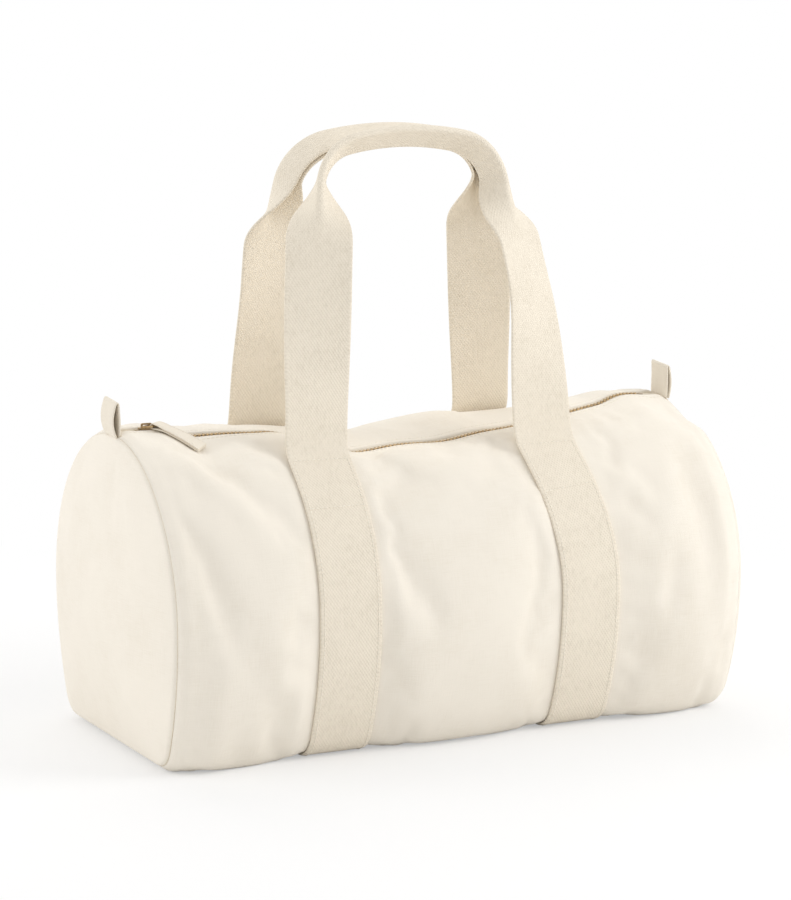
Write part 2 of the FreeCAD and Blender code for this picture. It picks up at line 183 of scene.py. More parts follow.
def half_girth(sizes):
    """Distance along the canvas from the top to the middle of the base."""
    return sum(r * (b - a) for _, _, r, a, b in section_runs(sizes)) + sizes.base_width / 2


def girth_at(sizes, turn):
    """Distance along the canvas from the top to where its normal has turned by an angle."""
    reach = 0.0
    for _, _, radius, start, end in section_runs(sizes):
        reach += radius * (min(max(turn, start), end) - start)
    return reach


def outline(sizes, around):
    """Points and normals of the section at signed distances from the top, the front being negative."""
    around = np.asarray(around, dtype=float)
    side = np.where(around < 0, -1.0, 1.0)
    left = np.abs(around)
    y = sizes.base_width / 2 - left
    z = np.full_like(left, base_level(sizes))
    ny = np.zeros_like(left)
    nz = np.full_like(left, -1.0)
    done = np.zeros(left.shape, dtype=bool)
    start = 0.0
    for cy, cz, radius, begin, end in section_runs(sizes):
        span = radius * (end - begin)
        here = ~done & (left <= start + span)
        turn = begin + (left - start) / radius
        y = np.where(here, cy + radius * np.sin(turn), y)
        z = np.where(here, cz + radius * np.cos(turn), z)
        ny = np.where(here, np.sin(turn), ny)
        nz = np.where(here, np.cos(turn), nz)
        done |= here
        start += span
    y = np.where(done, y, sizes.base_width / 2 - (left - start))
    return side * y, z, side * ny, nz


def eased(value, start, end):
    """Smooth step from 0 to 1."""
    part = np.clip((np.asarray(value, dtype=float) - start) / (end - start), 0.0, 1.0)
    return part * part * (3 - 2 * part)


def bell(value, middle, reach):
    """Smooth hump of height 1."""
    return np.exp(-((np.asarray(value, dtype=float) - middle) / reach) ** 2)


def soft_folds(first, second, table):
    """Height of a table's folds at two measures of a sheet."""
    height = 0.0
    for first_middle, second_middle, turn, long, wide, tall in table:
        c, s = math.cos(math.radians(turn)), math.sin(math.radians(turn))
        along, away = first - first_middle, second - second_middle
        height = height + tall * bell(along * c + away * s, 0, long) * bell(away * c - along * s, 0, wide)
    return height


# Soft folds in the canvas: place along the bag, place round it, direction in degrees from the
# bag's length, half length, half width and height
CANVAS_FOLDS = (
    (-0.196, -0.085, -58, 0.060, 0.0130, 0.0042),
    (-0.170, -0.090, -52, 0.055, 0.0120, -0.0040),
    (-0.150, -0.060, -35, 0.035, 0.0090, 0.0026),
    (-0.212, -0.150, -78, 0.050, 0.0100, -0.0030),
    (-0.185, -0.215, -60, 0.060, 0.0170, -0.0036),
    (-0.150, -0.250, -66, 0.055, 0.0150, 0.0026),
    (-0.205, -0.275, -84, 0.040, 0.0110, 0.0022),
    (0.200, -0.165, -86, 0.075, 0.0109, -0.0026),
    (0.219, -0.160, -88, 0.060, 0.0080, 0.0021),
    (0.178, -0.120, 74, 0.050, 0.0115, 0.0019),
    (0.165, -0.070, 40, 0.045, 0.0126, -0.0019),
    (0.158, -0.230, 70, 0.055, 0.0161, -0.0015),
    (-0.040, -0.056, 20, 0.050, 0.0115, 0.0021),
    (-0.030, -0.088, 34, 0.050, 0.0126, -0.0020),
    (0.035, -0.110, -30, 0.055, 0.0138, 0.0016),
    (0.048, -0.200, 76, 0.070, 0.0172, -0.0016),
    (-0.052, -0.235, -74, 0.060, 0.0172, 0.0017),
    (0.005, -0.285, 12, 0.060, 0.0161, 0.0014),
    (-0.170, 0.085, 52, 0.055, 0.0138, 0.0025),
    (-0.195, 0.120, 70, 0.055, 0.0126, -0.0022),
    (-0.160, 0.220, 64, 0.060, 0.0172, 0.0016),
    (0.190, 0.090, -58, 0.055, 0.0138, 0.0025),
    (0.170, 0.140, -72, 0.060, 0.0138, -0.0021),
    (0.205, 0.230, -80, 0.055, 0.0138, 0.0015),
    (0.020, 0.085, 18, 0.060, 0.0149, 0.0021),
    (-0.030, 0.125, -22, 0.060, 0.0149, -0.0019),
    (-0.040, 0.230, 80, 0.065, 0.0184, 0.0016),
    (0.045, 0.260, -76, 0.055, 0.0161, -0.0014),
)

# Hollows in the canvas: place along the bag, place round it, reach along it, reach round it and depth
CANVAS_HOLLOWS = (
    (-0.180, -0.037, 0.030, 0.026, 0.0070),
    (0.236, -0.041, 0.030, 0.021, 0.0080),
    (0.226, -0.019, 0.017, 0.014, 0.0022),
)

# The sagging zip along the bag: steps down (share of the sag, start, end), the slow climb to the right
# (start, length, power), where it has come up, and a ripple (share of the sag, place, length, reach)
DIP_STEPS = ((0.26, -0.2035, -0.176), (0.74, -0.118, -0.045))
DIP_CLIMB = (-0.012, 0.235, 1.2)
DIP_END = (0.172, 0.203)
DIP_RIPPLE = (0.06, 0.010, 0.085, 0.070)

# Reach of the sag round the bag: in front, what the straps take off there and how far they do; behind,
# what is added there, its middle and its reach. Then how much the zip wanders forward, and its reaches
SAG_FRONT, SAG_FRONT_LESS, STRAP_HOLD = 0.072, 0.032, 0.034
SAG_REAR, SAG_REAR_MORE, SAG_REAR_MIDDLE, SAG_REAR_LONG = 0.035, 0.026, -0.015, 0.042
WANDER, WANDER_FRONT, WANDER_REAR = 0.8, 0.050, 0.036

# Share of the swell at the top, what the sides add between two distances round the bag, and what the
# base corners take off between two others
SWELL_TOP = 0.35
SWELL_SIDE, SIDE_START, SIDE_END = 0.75, 0.05, 0.24
SWELL_LOSS, CORNER_START, CORNER_END = 0.45, 0.318, 0.345

# Folds fade beside sewn lines, and between two distances from the middle of the base. The straps pull the
# canvas in, over a share of half their width
FOLD_FADE = 2.5
CALM_START, CALM_END = 0.11, 0.08
STRAP_PULL, STRAP_PULL_SHARE = 0.0004, 1.1

# From this far round the bag the canvas stays above the floor
BASE_START, FLOOR_ROOM = 0.25, 0.0004


def zip_dip(sizes, x):
    """How far the line of the zip sinks at x."""
    down = sum(part * eased(x, start, end) for part, start, end in DIP_STEPS)
    start, span, power = DIP_CLIMB
    right = (1 - np.clip((x - start) / span, 0, 1) ** power) * (1 - eased(x, *DIP_END))
    part, place, long, reach = DIP_RIPPLE
    ripple = part * np.sin(2 * math.pi * (x - place) / long) * bell(x, 0, reach)
    return sizes.zip_sag * (down * right + ripple)


def swell(sizes, x, around):
    """How far the canvas stands out from the plain section."""
    half = sizes.webbing_width / 2
    place = np.abs(x)
    strap = sizes.strap_spacing / 2
    seam = sizes.body_length / 2
    inner = np.clip(place / (strap - half), 0, 1)
    outer = np.clip((place - strap - half) / (seam - strap - half), 0, 1)
    between = np.where(place < strap, 1 - inner ** 2, 1 - (2 * outer - 1) ** 2)
    between = np.where(np.abs(place - strap) <= half, 0.0, between)
    reach = np.abs(around)
    full = half_girth(sizes)
    body = SWELL_TOP + SWELL_SIDE * eased(reach, SIDE_START, SIDE_END)
    body = body * (1 - SWELL_LOSS * eased(reach, CORNER_START, CORNER_END))
    calm = np.clip(between * FOLD_FADE, 0, 1) * (1 - eased(reach, full - CALM_START, full - CALM_END))
    pulled = STRAP_PULL * bell(place, strap, half * STRAP_PULL_SHARE)
    return sizes.fullness * between * body + soft_folds(x, around, CANVAS_FOLDS) * calm - pulled


def canvas(sizes, x, around, grow=0.0):
    """Points on the soft canvas at places along the bag and round it."""
    x, around = np.broadcast_arrays(np.asarray(x, dtype=float), np.asarray(around, dtype=float))
    y, z, ny, nz = outline(sizes, around)
    out = swell(sizes, x, around) + grow
    dip = zip_dip(sizes, x)
    front = SAG_FRONT - SAG_FRONT_LESS * bell(np.abs(x), sizes.strap_spacing / 2, STRAP_HOLD)
    rear = SAG_REAR + SAG_REAR_MORE * bell(x, SAG_REAR_MIDDLE, SAG_REAR_LONG)
    sag = dip * bell(around, 0, np.where(around < 0, front, rear))
    wander = WANDER * dip * bell(around, 0, np.where(around < 0, WANDER_FRONT, WANDER_REAR))
    hollow = sum(
        deep * bell(x, place, long) * bell(around, turn, wide)
        for place, turn, long, wide, deep in CANVAS_HOLLOWS)
    y = y + ny * out - wander
    z = z + nz * out - sag - hollow
    z = np.where(np.abs(around) > BASE_START, np.maximum(z, FLOOR_ROOM), z)
    return np.stack([x, y, z], axis=-1)


# Modelling helpers

def between_rows(place, rows, table):
    """Points of a table at places between its rows."""
    return np.stack([np.interp(place, rows, table[:, axis]) for axis in range(3)], axis=-1)


def travelled(line):
    """Distance covered up to each point of a line."""
    return np.concatenate([[0], np.cumsum(np.linalg.norm(np.diff(line, axis=0), axis=1))])


def unit(vectors):
    """Vectors of length 1."""
    return vectors / np.linalg.norm(vectors, axis=1)[:, None]


def square_to(vectors, ahead):
    """Vectors turned square to the directions ahead."""
    return unit(vectors - ahead * np.sum(vectors * ahead, axis=1)[:, None])


def deselect():
    """Leave edit mode and deselect everything."""
    if bpy.context.object and bpy.context.object.mode != "OBJECT":
        bpy.ops.object.mode_set(mode="OBJECT")
    bpy.ops.object.select_all(action="DESELECT")


def choose(piece):
    """Make one object the only selected and active one."""
    deselect()
    piece.select_set(True)
    bpy.context.view_layer.objects.active = piece


def edit_all(piece):
    """Enter edit mode with all of a piece selected."""
    choose(piece)
    bpy.ops.object.mode_set(mode="EDIT")
    bpy.ops.mesh.select_all(action="SELECT")


def points_of(piece):
    """Mesh points as an array."""
    flat = np.empty(len(piece.data.vertices) * 3)
    piece.data.vertices.foreach_get("co", flat)
    return flat.reshape(-1, 3)


def place_points(piece, points):
    """Set the mesh points from an array."""
    piece.data.vertices.foreach_set("co", np.asarray(points, dtype=float).reshape(-1))
    piece.data.update()


def corners_of(mesh):
    """Number of the point at each face corner."""
    corners = np.empty(len(mesh.loops), dtype=np.int32)
    mesh.loops.foreach_get("vertex_index", corners)
    return corners


def lay_uv(piece, across, along):
    """Unwrap a piece by two values of each point, in metres of cloth."""
    mesh = piece.data
    corners = corners_of(mesh)
    layer = mesh.uv_layers[0] if mesh.uv_layers else mesh.uv_layers.new(name="Cloth")
    pair = np.stack([np.asarray(across)[corners], np.asarray(along)[corners]], axis=-1)
    layer.data.foreach_set("uv", pair.reshape(-1).astype(np.float32))


def cloth_strip(name, columns, rows):
    """Flat grid of cloth, with its two shares, from 0 to 1, of each point."""
    deselect()
    bpy.ops.mesh.primitive_grid_add(
        x_subdivisions=columns, y_subdivisions=rows, size=1.0, location=(0, 0, 0))
    piece = bpy.context.object
    piece.name = name
    piece.data.name = name
    flat = points_of(piece)
    return piece, flat[:, 0] + 0.5, flat[:, 1] + 0.5


def take_shape(piece):
    """Points and faces of a small modelled shape, which is then removed."""
    shape = points_of(piece)
    faces = [list(face.vertices) for face in piece.data.polygons]
    bpy.data.objects.remove(piece)
    return shape, faces


def join_copies(name, blocks, faces):
    """One piece from the points of many copies of a small shape."""
    size = len(blocks[0])
    polygons = [[index + number * size for index in face] for number in range(len(blocks)) for face in faces]
    mesh = bpy.data.meshes.new(name)
    mesh.from_pydata(np.vstack(blocks).tolist(), [], polygons)
    piece = bpy.data.objects.new(name, mesh)
    bpy.context.collection.objects.link(piece)
    return piece


def face_out(piece, middle=(0, 0, 0)):
    """Turn a sheet's faces away from a middle point."""
    centre = Vector(middle)
    outward = sum((face.center - centre).dot(face.normal) * face.area for face in piece.data.polygons)
    if outward < 0:
        edit_all(piece)
        bpy.ops.mesh.flip_normals()
        bpy.ops.object.mode_set(mode="OBJECT")


def weld(piece, reach=0.0002):
    """Merge the points that lie together."""
    edit_all(piece)
    bpy.ops.mesh.remove_doubles(threshold=reach)
    bpy.ops.object.mode_set(mode="OBJECT")


def thicken(piece, thickness, offset):
    """Give a sheet its thickness, inwards at -1 and to both sides at 0."""
    choose(piece)
    wall = piece.modifiers.new("Thickness", "SOLIDIFY")
    wall.thickness = thickness
    wall.offset = offset
    bpy.ops.object.modifier_apply(modifier=wall.name)


def smooth_mesh(piece):
    """Subdivide a piece smoothly, once."""
    choose(piece)
    finer = piece.modifiers.new("Smooth", "SUBSURF")
    finer.levels = 1
    finer.render_levels = 1
    finer.uv_smooth = "NONE"
    bpy.ops.object.modifier_apply(modifier=finer.name)


def finish_piece(piece, material, body):
    """Shade a piece, give it its material and the body that it moves with."""
    choose(piece)
    bpy.ops.object.shade_smooth()
    piece.data.materials.clear()
    piece.data.materials.append(material)
    if body:
        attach(piece, body)
    deselect()


def settle(piece, hold, frames, most):
    """Let the cloth settle under a little pressure, held by the weights, and limit its moves."""
    before = points_of(piece)
    group = piece.vertex_groups.new(name="sewn")
    for index, weight in enumerate(hold):
        group.add([index], float(weight), "REPLACE")
    choose(piece)
    cloth = piece.modifiers.new("Settle", "CLOTH")
    settings = cloth.settings
    settings.quality = 6
    settings.mass = 0.25
    settings.tension_stiffness = 12
    settings.compression_stiffness = 12
    settings.shear_stiffness = 5
    settings.bending_stiffness = 0.4
    settings.vertex_group_mass = "sewn"
    settings.shrink_min = -0.030
    settings.use_pressure = True
    settings.uniform_pressure_force = 1.2
    settings.effector_weights.gravity = 0.0
    cloth.collision_settings.use_collision = False
    cloth.point_cache.frame_start = 1
    cloth.point_cache.frame_end = frames
    scene = bpy.context.scene
    for number in range(1, frames + 1):
        scene.frame_set(number)
    bpy.ops.object.modifier_apply(modifier=cloth.name)
    scene.frame_set(1)
    moved = points_of(piece) - before
    reach = np.linalg.norm(moved, axis=1)
    capped = most * np.tanh(reach / most)
    moved *= (capped / np.maximum(reach, 1e-9))[:, None]
    free = 1 - np.asarray(hold)
    place_points(piece, before + moved * free[:, None])
    piece.vertex_groups.clear()


# Materials

NODE_COLUMNS, NODE_WIDTH, NODE_HEIGHT = 9, 220, 180
NOISE_ROUGHNESS = 0.6
DULL_COTTON = {"Specular IOR Level": 0.15, "Sheen Weight": 0.10, "Sheen Roughness": 0.6}
LONG_SLUBS, CROSS_SLUBS = (70.0, 1400.0, 1.0), (1400.0, 70.0, 1.0)
WEBBING_FIBRES = (500.0, 160.0, 1.0)
EDGE_CORD, CORD_PITCH = 0.0024, 0.0030
BRASS_SCUFFS = (300.0, 2600.0, 900.0)
DARK_WARMTH = (1.0, 0.985, 0.955)


class Nodes:
    """Small builder for a node tree."""

    def __init__(self, tree):
        self.tree = tree
        self.count = 0

    def feed(self, node, inputs):
        """Link a node's sockets to others, or set their values."""
        for socket, value in inputs.items():
            if isinstance(value, bpy.types.NodeSocket):
                self.tree.links.new(value, node.inputs[socket])
            else:
                node.inputs[socket].default_value = value

    def node(self, kind, inputs=None, **values):
        """Add a node and set its properties and sockets."""
        made = self.tree.nodes.new(kind)
        self.count += 1
        made.location = (
            -NODE_WIDTH * (1 + self.count % NODE_COLUMNS), -NODE_HEIGHT * (self.count // NODE_COLUMNS))
        for key, value in values.items():
            setattr(made, key, value)
        self.feed(made, inputs or {})
        return made

    def maths(self, operation, *values):
        """Math node from sockets or numbers."""
        return self.node("ShaderNodeMath", dict(enumerate(values)), operation=operation).outputs[0]

    def seen(self):
        """1 for rays that show a surface, 0 for those that only light others."""
        paths = self.node("ShaderNodeLightPath").outputs
        first = self.maths("MAXIMUM", paths["Is Camera Ray"], paths["Is Glossy Ray"])
        return self.maths("MAXIMUM", first, paths["Is Transmission Ray"])

    def mix_shaders(self, factor, first, second, target):
        """Mix two shaders into the output node's surface."""
        mix = self.node("ShaderNodeMixShader", {"Fac": factor, 1: first.outputs[0], 2: second.outputs[0]})
        self.feed(self.tree.nodes[target], {"Surface": mix.outputs[0]})


class Finish(Nodes):
    """Small builder for a node material."""

    def __init__(self, name):
        self.material = bpy.data.materials.new(name)
        self.material.use_nodes = True
        super().__init__(self.material.node_tree)
        self.shader = self.tree.nodes["Principled BSDF"]

    def cloth(self):
        """The cloth's own unwrap, and its two parts: across and along."""
        place = self.node("ShaderNodeTexCoord").outputs["UV"]
        parts = self.node("ShaderNodeSeparateXYZ", {0: place}).outputs
        return place, parts[0], parts[1]

    def wave(self, value, pitch):
        """Sine wave of a pitch."""
        return self.maths("SINE", self.maths("MULTIPLY", value, 2 * math.pi / pitch))

    def weighed(self, first, first_share, second, second_share):
        """Sum of shares of two values."""
        return self.maths("MULTIPLY_ADD", first, first_share, self.maths("MULTIPLY", second, second_share))

    def noise(self, vector, scale, detail, stretch=None):
        """Noise over a vector, stretched if wanted."""
        if stretch:
            vector = self.node("ShaderNodeMapping", {"Scale": stretch, "Vector": vector}).outputs[0]
        inputs = {"Vector": vector, "Scale": scale, "Detail": detail, "Roughness": NOISE_ROUGHNESS}
        return self.node("ShaderNodeTexNoise", inputs).outputs["Fac"]

    def colour(self, value, stops):
        """Base colour from a ramp through places and colours."""
        made = self.node("ShaderNodeValToRGB", {"Fac": value})
        while len(made.color_ramp.elements) < len(stops):
            made.color_ramp.elements.new(0.5)
        for element, (place, colour) in zip(made.color_ramp.elements, stops):
            element.position = place
            element.color = (*colour, 1.0)
        self.surface({"Base Color": made.outputs["Color"]})

    def bump(self, height, strength, distance):
        """Bump from a height socket."""
        made = self.node("ShaderNodeBump", {"Height": height, "Strength": strength, "Distance": distance})
        self.surface({"Normal": made.outputs[0]})

    def rough(self, value, low, high):
        """Roughness that varies with a value."""
        made = self.node("ShaderNodeMapRange", {"Value": value, "To Min": low, "To Max": high})
        self.surface({"Roughness": made.outputs[0]})

    def surface(self, inputs):
        """Links and constants on the shader's sockets."""
        self.feed(self.shader, inputs)


def shade(colour, factor):
    """Colour made lighter or darker, darker shades a little warmer."""
    warm = DARK_WARMTH if factor < 1 else (1.0, 1.0, 1.0)
    return tuple(min(1.0, part * factor * tone) for part, tone in zip(colour, warm))


def woven_canvas(name, colour, thread=0.00085):
    """Plain-woven cotton canvas with slubs, from the cloth's own unwrap."""
    finish = Finish(name)
    place, across, along = finish.cloth()
    weave = finish.maths("MULTIPLY", finish.wave(across, thread), finish.wave(along, thread))
    long_slubs = finish.noise(place, scale=1.0, detail=3.0, stretch=LONG_SLUBS)
    cross_slubs = finish.noise(place, scale=1.0, detail=3.0, stretch=CROSS_SLUBS)
    cloudy = finish.noise(place, scale=14.0, detail=4.0)
    slubs = finish.maths("ADD", long_slubs, cross_slubs)
    tone = finish.weighed(cloudy, 0.5, slubs, 0.25)
    finish.colour(tone, ((0.30, shade(colour, 0.93)), (0.50, colour), (0.72, shade(colour, 1.035))))
    finish.bump(finish.maths("MULTIPLY_ADD", weave, 0.35, slubs), strength=0.30, distance=0.00035)
    finish.rough(cloudy, low=0.82, high=0.95)
    finish.surface(DULL_COTTON)
    return finish.material


def plain_webbing(name, colour, width, warp=0.0024, weft=0.0034):
    """Heavy plain-woven webbing with corded edges, from the strip's own unwrap."""
    finish = Finish(name)
    place, across, along = finish.cloth()
    weave = finish.maths("MULTIPLY", finish.wave(across, warp), finish.wave(along, weft))
    body = finish.maths("MULTIPLY_ADD", finish.wave(along, weft / 2), 0.30, weave)
    middle = finish.maths("ABSOLUTE", finish.maths("SUBTRACT", across, width / 2))
    edge = finish.maths("GREATER_THAN", middle, width / 2 - EDGE_CORD)
    cord = finish.wave(along, CORD_PITCH)
    inside = finish.maths("MULTIPLY", body, finish.maths("SUBTRACT", 1.0, edge))
    height = finish.maths("MULTIPLY_ADD", cord, finish.maths("MULTIPLY", edge, 1.2), inside)
    cloudy = finish.noise(place, scale=30.0, detail=4.0)
    fibres = finish.noise(place, scale=1.0, detail=3.0, stretch=WEBBING_FIBRES)
    tone = finish.maths("MULTIPLY_ADD", height, 0.035, finish.weighed(cloudy, 0.35, fibres, 0.5))
    finish.colour(tone, ((0.20, shade(colour, 0.86)), (0.42, colour), (0.68, shade(colour, 1.06))))
    finish.bump(finish.maths("MULTIPLY_ADD", fibres, 0.9, height), strength=0.34, distance=0.0004)
    finish.rough(fibres, low=0.80, high=0.95)
    finish.surface(DULL_COTTON)
    return finish.material


def sewing_thread(name, colour):
    """Twisted cotton thread."""
    finish = Finish(name)
    place = finish.node("ShaderNodeTexCoord").outputs["Object"]
    fibres = finish.noise(place, scale=1500.0, detail=2.0)
    cloudy = finish.noise(place, scale=60.0, detail=2.0)
    tone = finish.weighed(cloudy, 0.5, fibres, 0.5)
    finish.colour(tone, ((0.3, shade(colour, 0.86)), (0.7, shade(colour, 1.06))))
    finish.bump(fibres, strength=0.4, distance=0.0002)
    finish.rough(fibres, low=0.6, high=0.85)
    finish.surface({"Specular IOR Level": 0.25})
    return finish.material


def aged_brass(name, colour):
    """Brass with rubbed bright spots and dull tarnish."""
    finish = Finish(name)
    place = finish.node("ShaderNodeTexCoord").outputs["Object"]
    tarnish = finish.noise(place, scale=420.0, detail=5.0)
    scuffs = finish.noise(place, scale=1.0, detail=3.0, stretch=BRASS_SCUFFS)
    tone = finish.weighed(tarnish, 0.7, scuffs, 0.3)
    finish.colour(tone, ((0.30, shade(colour, 0.55)), (0.52, colour), (0.74, shade(colour, 1.5))))
    finish.surface({"Metallic": 1.0})
    finish.rough(scuffs, low=0.26, high=0.52)
    finish.bump(scuffs, strength=0.12, distance=0.0002)
    return finish.material


def settings_of(context):
    """The bag's sizes and colours."""
    return context.scene.barrel_bag_sizes, context.scene.barrel_bag_colours


# Canvas pieces

CANVAS_GRID = (84, 112)
SETTLE_FRAMES = 16
# Where the settling canvas is held, each as the distances at which the hold begins and is full: from the
# webbing's edge, from the end seam, from the zip and from the middle of the base
HOLD_STRAP = (0.012, -0.001)
HOLD_SEAM = (0.016, 0.004)
HOLD_ZIP = (0.034, 0.014)
HOLD_BASE = (0.085, 0.060)
# Creases beside the end seams and the zip's hem: depth, distance from the edge and reach
SEAM_CREASES = ((0.0022, 0.0, 0.0032), (-0.0008, 0.0085, 0.004))
HEM_CREASES = ((0.0006, HEM_ROW, 0.0022), (0.0010, 0.0, 0.0020))
LOWEST_CANVAS = 0.0003


def creases(distance, table):
    """Depth of a table's creases at distances from an edge."""
    return sum(deep * bell(distance, place, reach) for deep, place, reach in table)


class BAG_OT_canvas_body(bpy.types.Operator):
    """Wrap the body canvas round the barrel, open along the zip, and let it settle"""

    bl_idname = "barrel_bag.canvas_body"
    bl_label = "Canvas body"

    def execute(self, context):
        sizes, colours = settings_of(context)
        piece, along, round_share = cloth_strip("canvas_body", *CANVAS_GRID)
        full = half_girth(sizes)
        gap = sizes.zip_opening / 2
        travel = gap + round_share * (2 * full - 2 * gap)
        around = np.where(travel <= full, -travel, 2 * full - travel)
        x = (along - 0.5) * sizes.body_length
        place_points(piece, canvas(sizes, x, around))
        lay_uv(piece, x, travel)
        face_out(piece, (0, 0, sizes.body_height / 2))
        settle(piece, self.held(sizes, np.abs(x), np.abs(around)), SETTLE_FRAMES, sizes.slack)
        smooth_mesh(piece)
        self.sew_edges(piece, sizes)
        thicken(piece, sizes.canvas_thickness, -1.0)
        finish_piece(piece, woven_canvas("natural_canvas", tuple(colours.canvas)), "bag")
        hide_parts("body_panel")
        return {"FINISHED"}

    def held(self, sizes, place, reach):
        """How firmly each point is held while the canvas settles."""
        half = sizes.webbing_width / 2
        full = half_girth(sizes)
        strap = eased(np.abs(place - sizes.strap_spacing / 2), half + HOLD_STRAP[0], half + HOLD_STRAP[1])
        seam = eased(sizes.body_length / 2 - place, *HOLD_SEAM)
        hem = eased(reach, *HOLD_ZIP)
        base = eased(reach, full - HOLD_BASE[0], full - HOLD_BASE[1])
        return np.clip(np.maximum.reduce([strap, seam, hem, base]), 0, 1)

    def sew_edges(self, piece, sizes):
        """Tuck the canvas in at the end seams and under the zip's hem stitches."""
        mesh = piece.data
        uv = np.empty(len(mesh.loops) * 2, dtype=np.float32)
        mesh.uv_layers[0].data.foreach_get("uv", uv)
        cloth = np.zeros((len(mesh.vertices), 2))
        cloth[corners_of(mesh)] = uv.reshape(-1, 2)
        full = half_girth(sizes)
        reach = np.where(cloth[:, 1] <= full, cloth[:, 1], 2 * full - cloth[:, 1])
        normals = np.empty(len(mesh.vertices) * 3)
        mesh.vertices.foreach_get("normal", normals)
        deep = creases(sizes.body_length / 2 - np.abs(cloth[:, 0]), SEAM_CREASES)
        deep = deep + creases(reach - sizes.zip_opening / 2, HEM_CREASES)
        points = points_of(piece) - normals.reshape(-1, 3) * deep[:, None]
        points[:, 2] = np.maximum(points[:, 2], LOWEST_CANVAS)
        place_points(piece, points)


END_GRID = (168, 34)
END_MIDDLE = 0.49
END_GAP = 0.0002
# Powers of the dome, then depth, height as a share of the body's and reach of the belly low in an end
DOME_FLAT, DOME_ROUND = 2.6, 0.75
BELLY, BELLY_HEIGHT, BELLY_REACH = 0.0045, 0.36, 0.26
# Folds in an end: place across it, height, direction in degrees, half length, half width and height
END_FOLDS = (
    (-0.060, 0.180, 62, 0.040, 0.010, 0.0016),
    (0.050, 0.170, -58, 0.045, 0.011, 0.0018),
    (-0.020, 0.205, 80, 0.032, 0.009, -0.0016),
    (-0.070, 0.060, -40, 0.040, 0.012, 0.0014),
    (0.065, 0.055, 42, 0.040, 0.012, 0.0014),
    (0.010, 0.110, 12, 0.060, 0.016, 0.0010),
)
FOLD_EDGE = 6
# The tuck at the seam: depth, reach as a share of the radius, its share along the bag, and the end's
# mean radius
TUCK, TUCK_REACH, TUCK_ALONG, MEAN_RADIUS = 0.0022, 0.02, 0.4, 0.11


class BAG_OT_end_panels(bpy.types.Operator):
    """Round canvas ends, swelling out from their seams"""

    bl_idname = "barrel_bag.end_panels"
    bl_label = "End panels"

    def execute(self, context):
        sizes, colours = settings_of(context)
        material = woven_canvas("end_canvas", tuple(colours.canvas))
        full = half_girth(sizes)
        seam = sizes.body_length / 2
        centre = np.array([0.0, 0.0, base_level(sizes) + END_MIDDLE * sizes.body_height])
        for side, name in ENDS:
            piece, turn, radial = cloth_strip(name + "_canvas_end", *END_GRID)
            around = (turn * 2 - 1) * full
            rim = canvas(sizes, np.full_like(around, side * seam), around, -END_GAP)
            radius = np.sin(radial * math.pi / 2)
            points = centre + (rim - centre) * radius[:, None]
            dome = sizes.end_bulge * (1 - radius ** DOME_FLAT) ** DOME_ROUND
            rise = points[:, 2] / sizes.body_height
            belly = BELLY * bell(rise, BELLY_HEIGHT, BELLY_REACH) * (1 - radius ** 2)
            fold = soft_folds(points[:, 1], points[:, 2], END_FOLDS) * (1 - radius ** FOLD_EDGE)
            tuck = TUCK * bell(radius, 1.0, TUCK_REACH)
            points[:, 0] = side * (seam + dome + belly + fold - tuck * TUCK_ALONG + END_GAP)
            shrink = 1 - tuck / MEAN_RADIUS
            points[:, 1:] = centre[1:] + (points[:, 1:] - centre[1:]) * shrink[:, None]
            place_points(piece, points)
            lay_uv(piece, points[:, 1], points[:, 2])
            weld(piece)
            face_out(piece, centre)
            thicken(piece, sizes.canvas_thickness, -1.0)
            finish_piece(piece, material, "bag")
            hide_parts(name + "_end_panel")
        return {"FINISHED"}


BINDING_GRID = (150, 9)
BINDING_WIDTH, BINDING_THICKNESS = 0.022, 0.0006
BINDING_WARP, BINDING_WEFT = 0.0012, 0.0020
# The folded tape: shares across it, and there its distance from the end seam and its depth under the canvas
BINDING_SHARES = (0, 0.33, 0.67, 1)
BINDING_INSETS = (0.0004, 0.0004, 0.0044, 0.0044)
BINDING_DEPTHS = (0.0029, 0.0098, 0.0098, 0.0029)
WHOLE_TURN = 0.9999


class BAG_OT_seam_bindings(bpy.types.Operator):
    """Tape that binds the seam allowance inside each end"""

    bl_idname = "barrel_bag.seam_bindings"
    bl_label = "Seam bindings"

    def execute(self, context):
        sizes, colours = settings_of(context)
        material = plain_webbing(
            "binding_tape", tuple(colours.tape), BINDING_WIDTH, BINDING_WARP, BINDING_WEFT)
        full = half_girth(sizes)
        for side, name in ENDS:
            piece, turn, share_across = cloth_strip(name + "_binding_tape", *BINDING_GRID)
            around = (turn * 2 - 1) * full * WHOLE_TURN
            inset = np.interp(share_across, BINDING_SHARES, BINDING_INSETS)
            depth = np.interp(share_across, BINDING_SHARES, BINDING_DEPTHS)
            place_points(piece, canvas(sizes, side * (sizes.body_length / 2 - inset), around, -depth))
            lay_uv(piece, share_across * BINDING_WIDTH, around + full)
            weld(piece)
            face_out(piece)
            thicken(piece, BINDING_THICKNESS, 0.0)
            finish_piece(piece, material, "bag")
            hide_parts(name + "_seam_binding")
        return {"FINISHED"}


# Webbing

# Rows of the path up a strap and along half a handle, and columns across the strip
STRAP_ROWS, HANDLE_ROWS, WEBBING_COLUMNS = 92, 104, 22
# The strap lifts off the canvas below its hinge, drifts to its leg, and the leg leaves the canvas's line
HINGE_LIFT, LIFT_REACH, DRIFT_REACH, FOOT_REACH = 0.0006, 0.045, 0.130, 0.090
FLOOR_GAP = 0.00005
# Shares of the leg between which the strip twists and folds in half, and the half angles of its fold
TWIST_SHARES, FOLD_SHARES = (0.05, 0.7), (0.76, 1.05)
OPEN_ANGLE, FOLD_TURN = math.radians(90), math.radians(88)
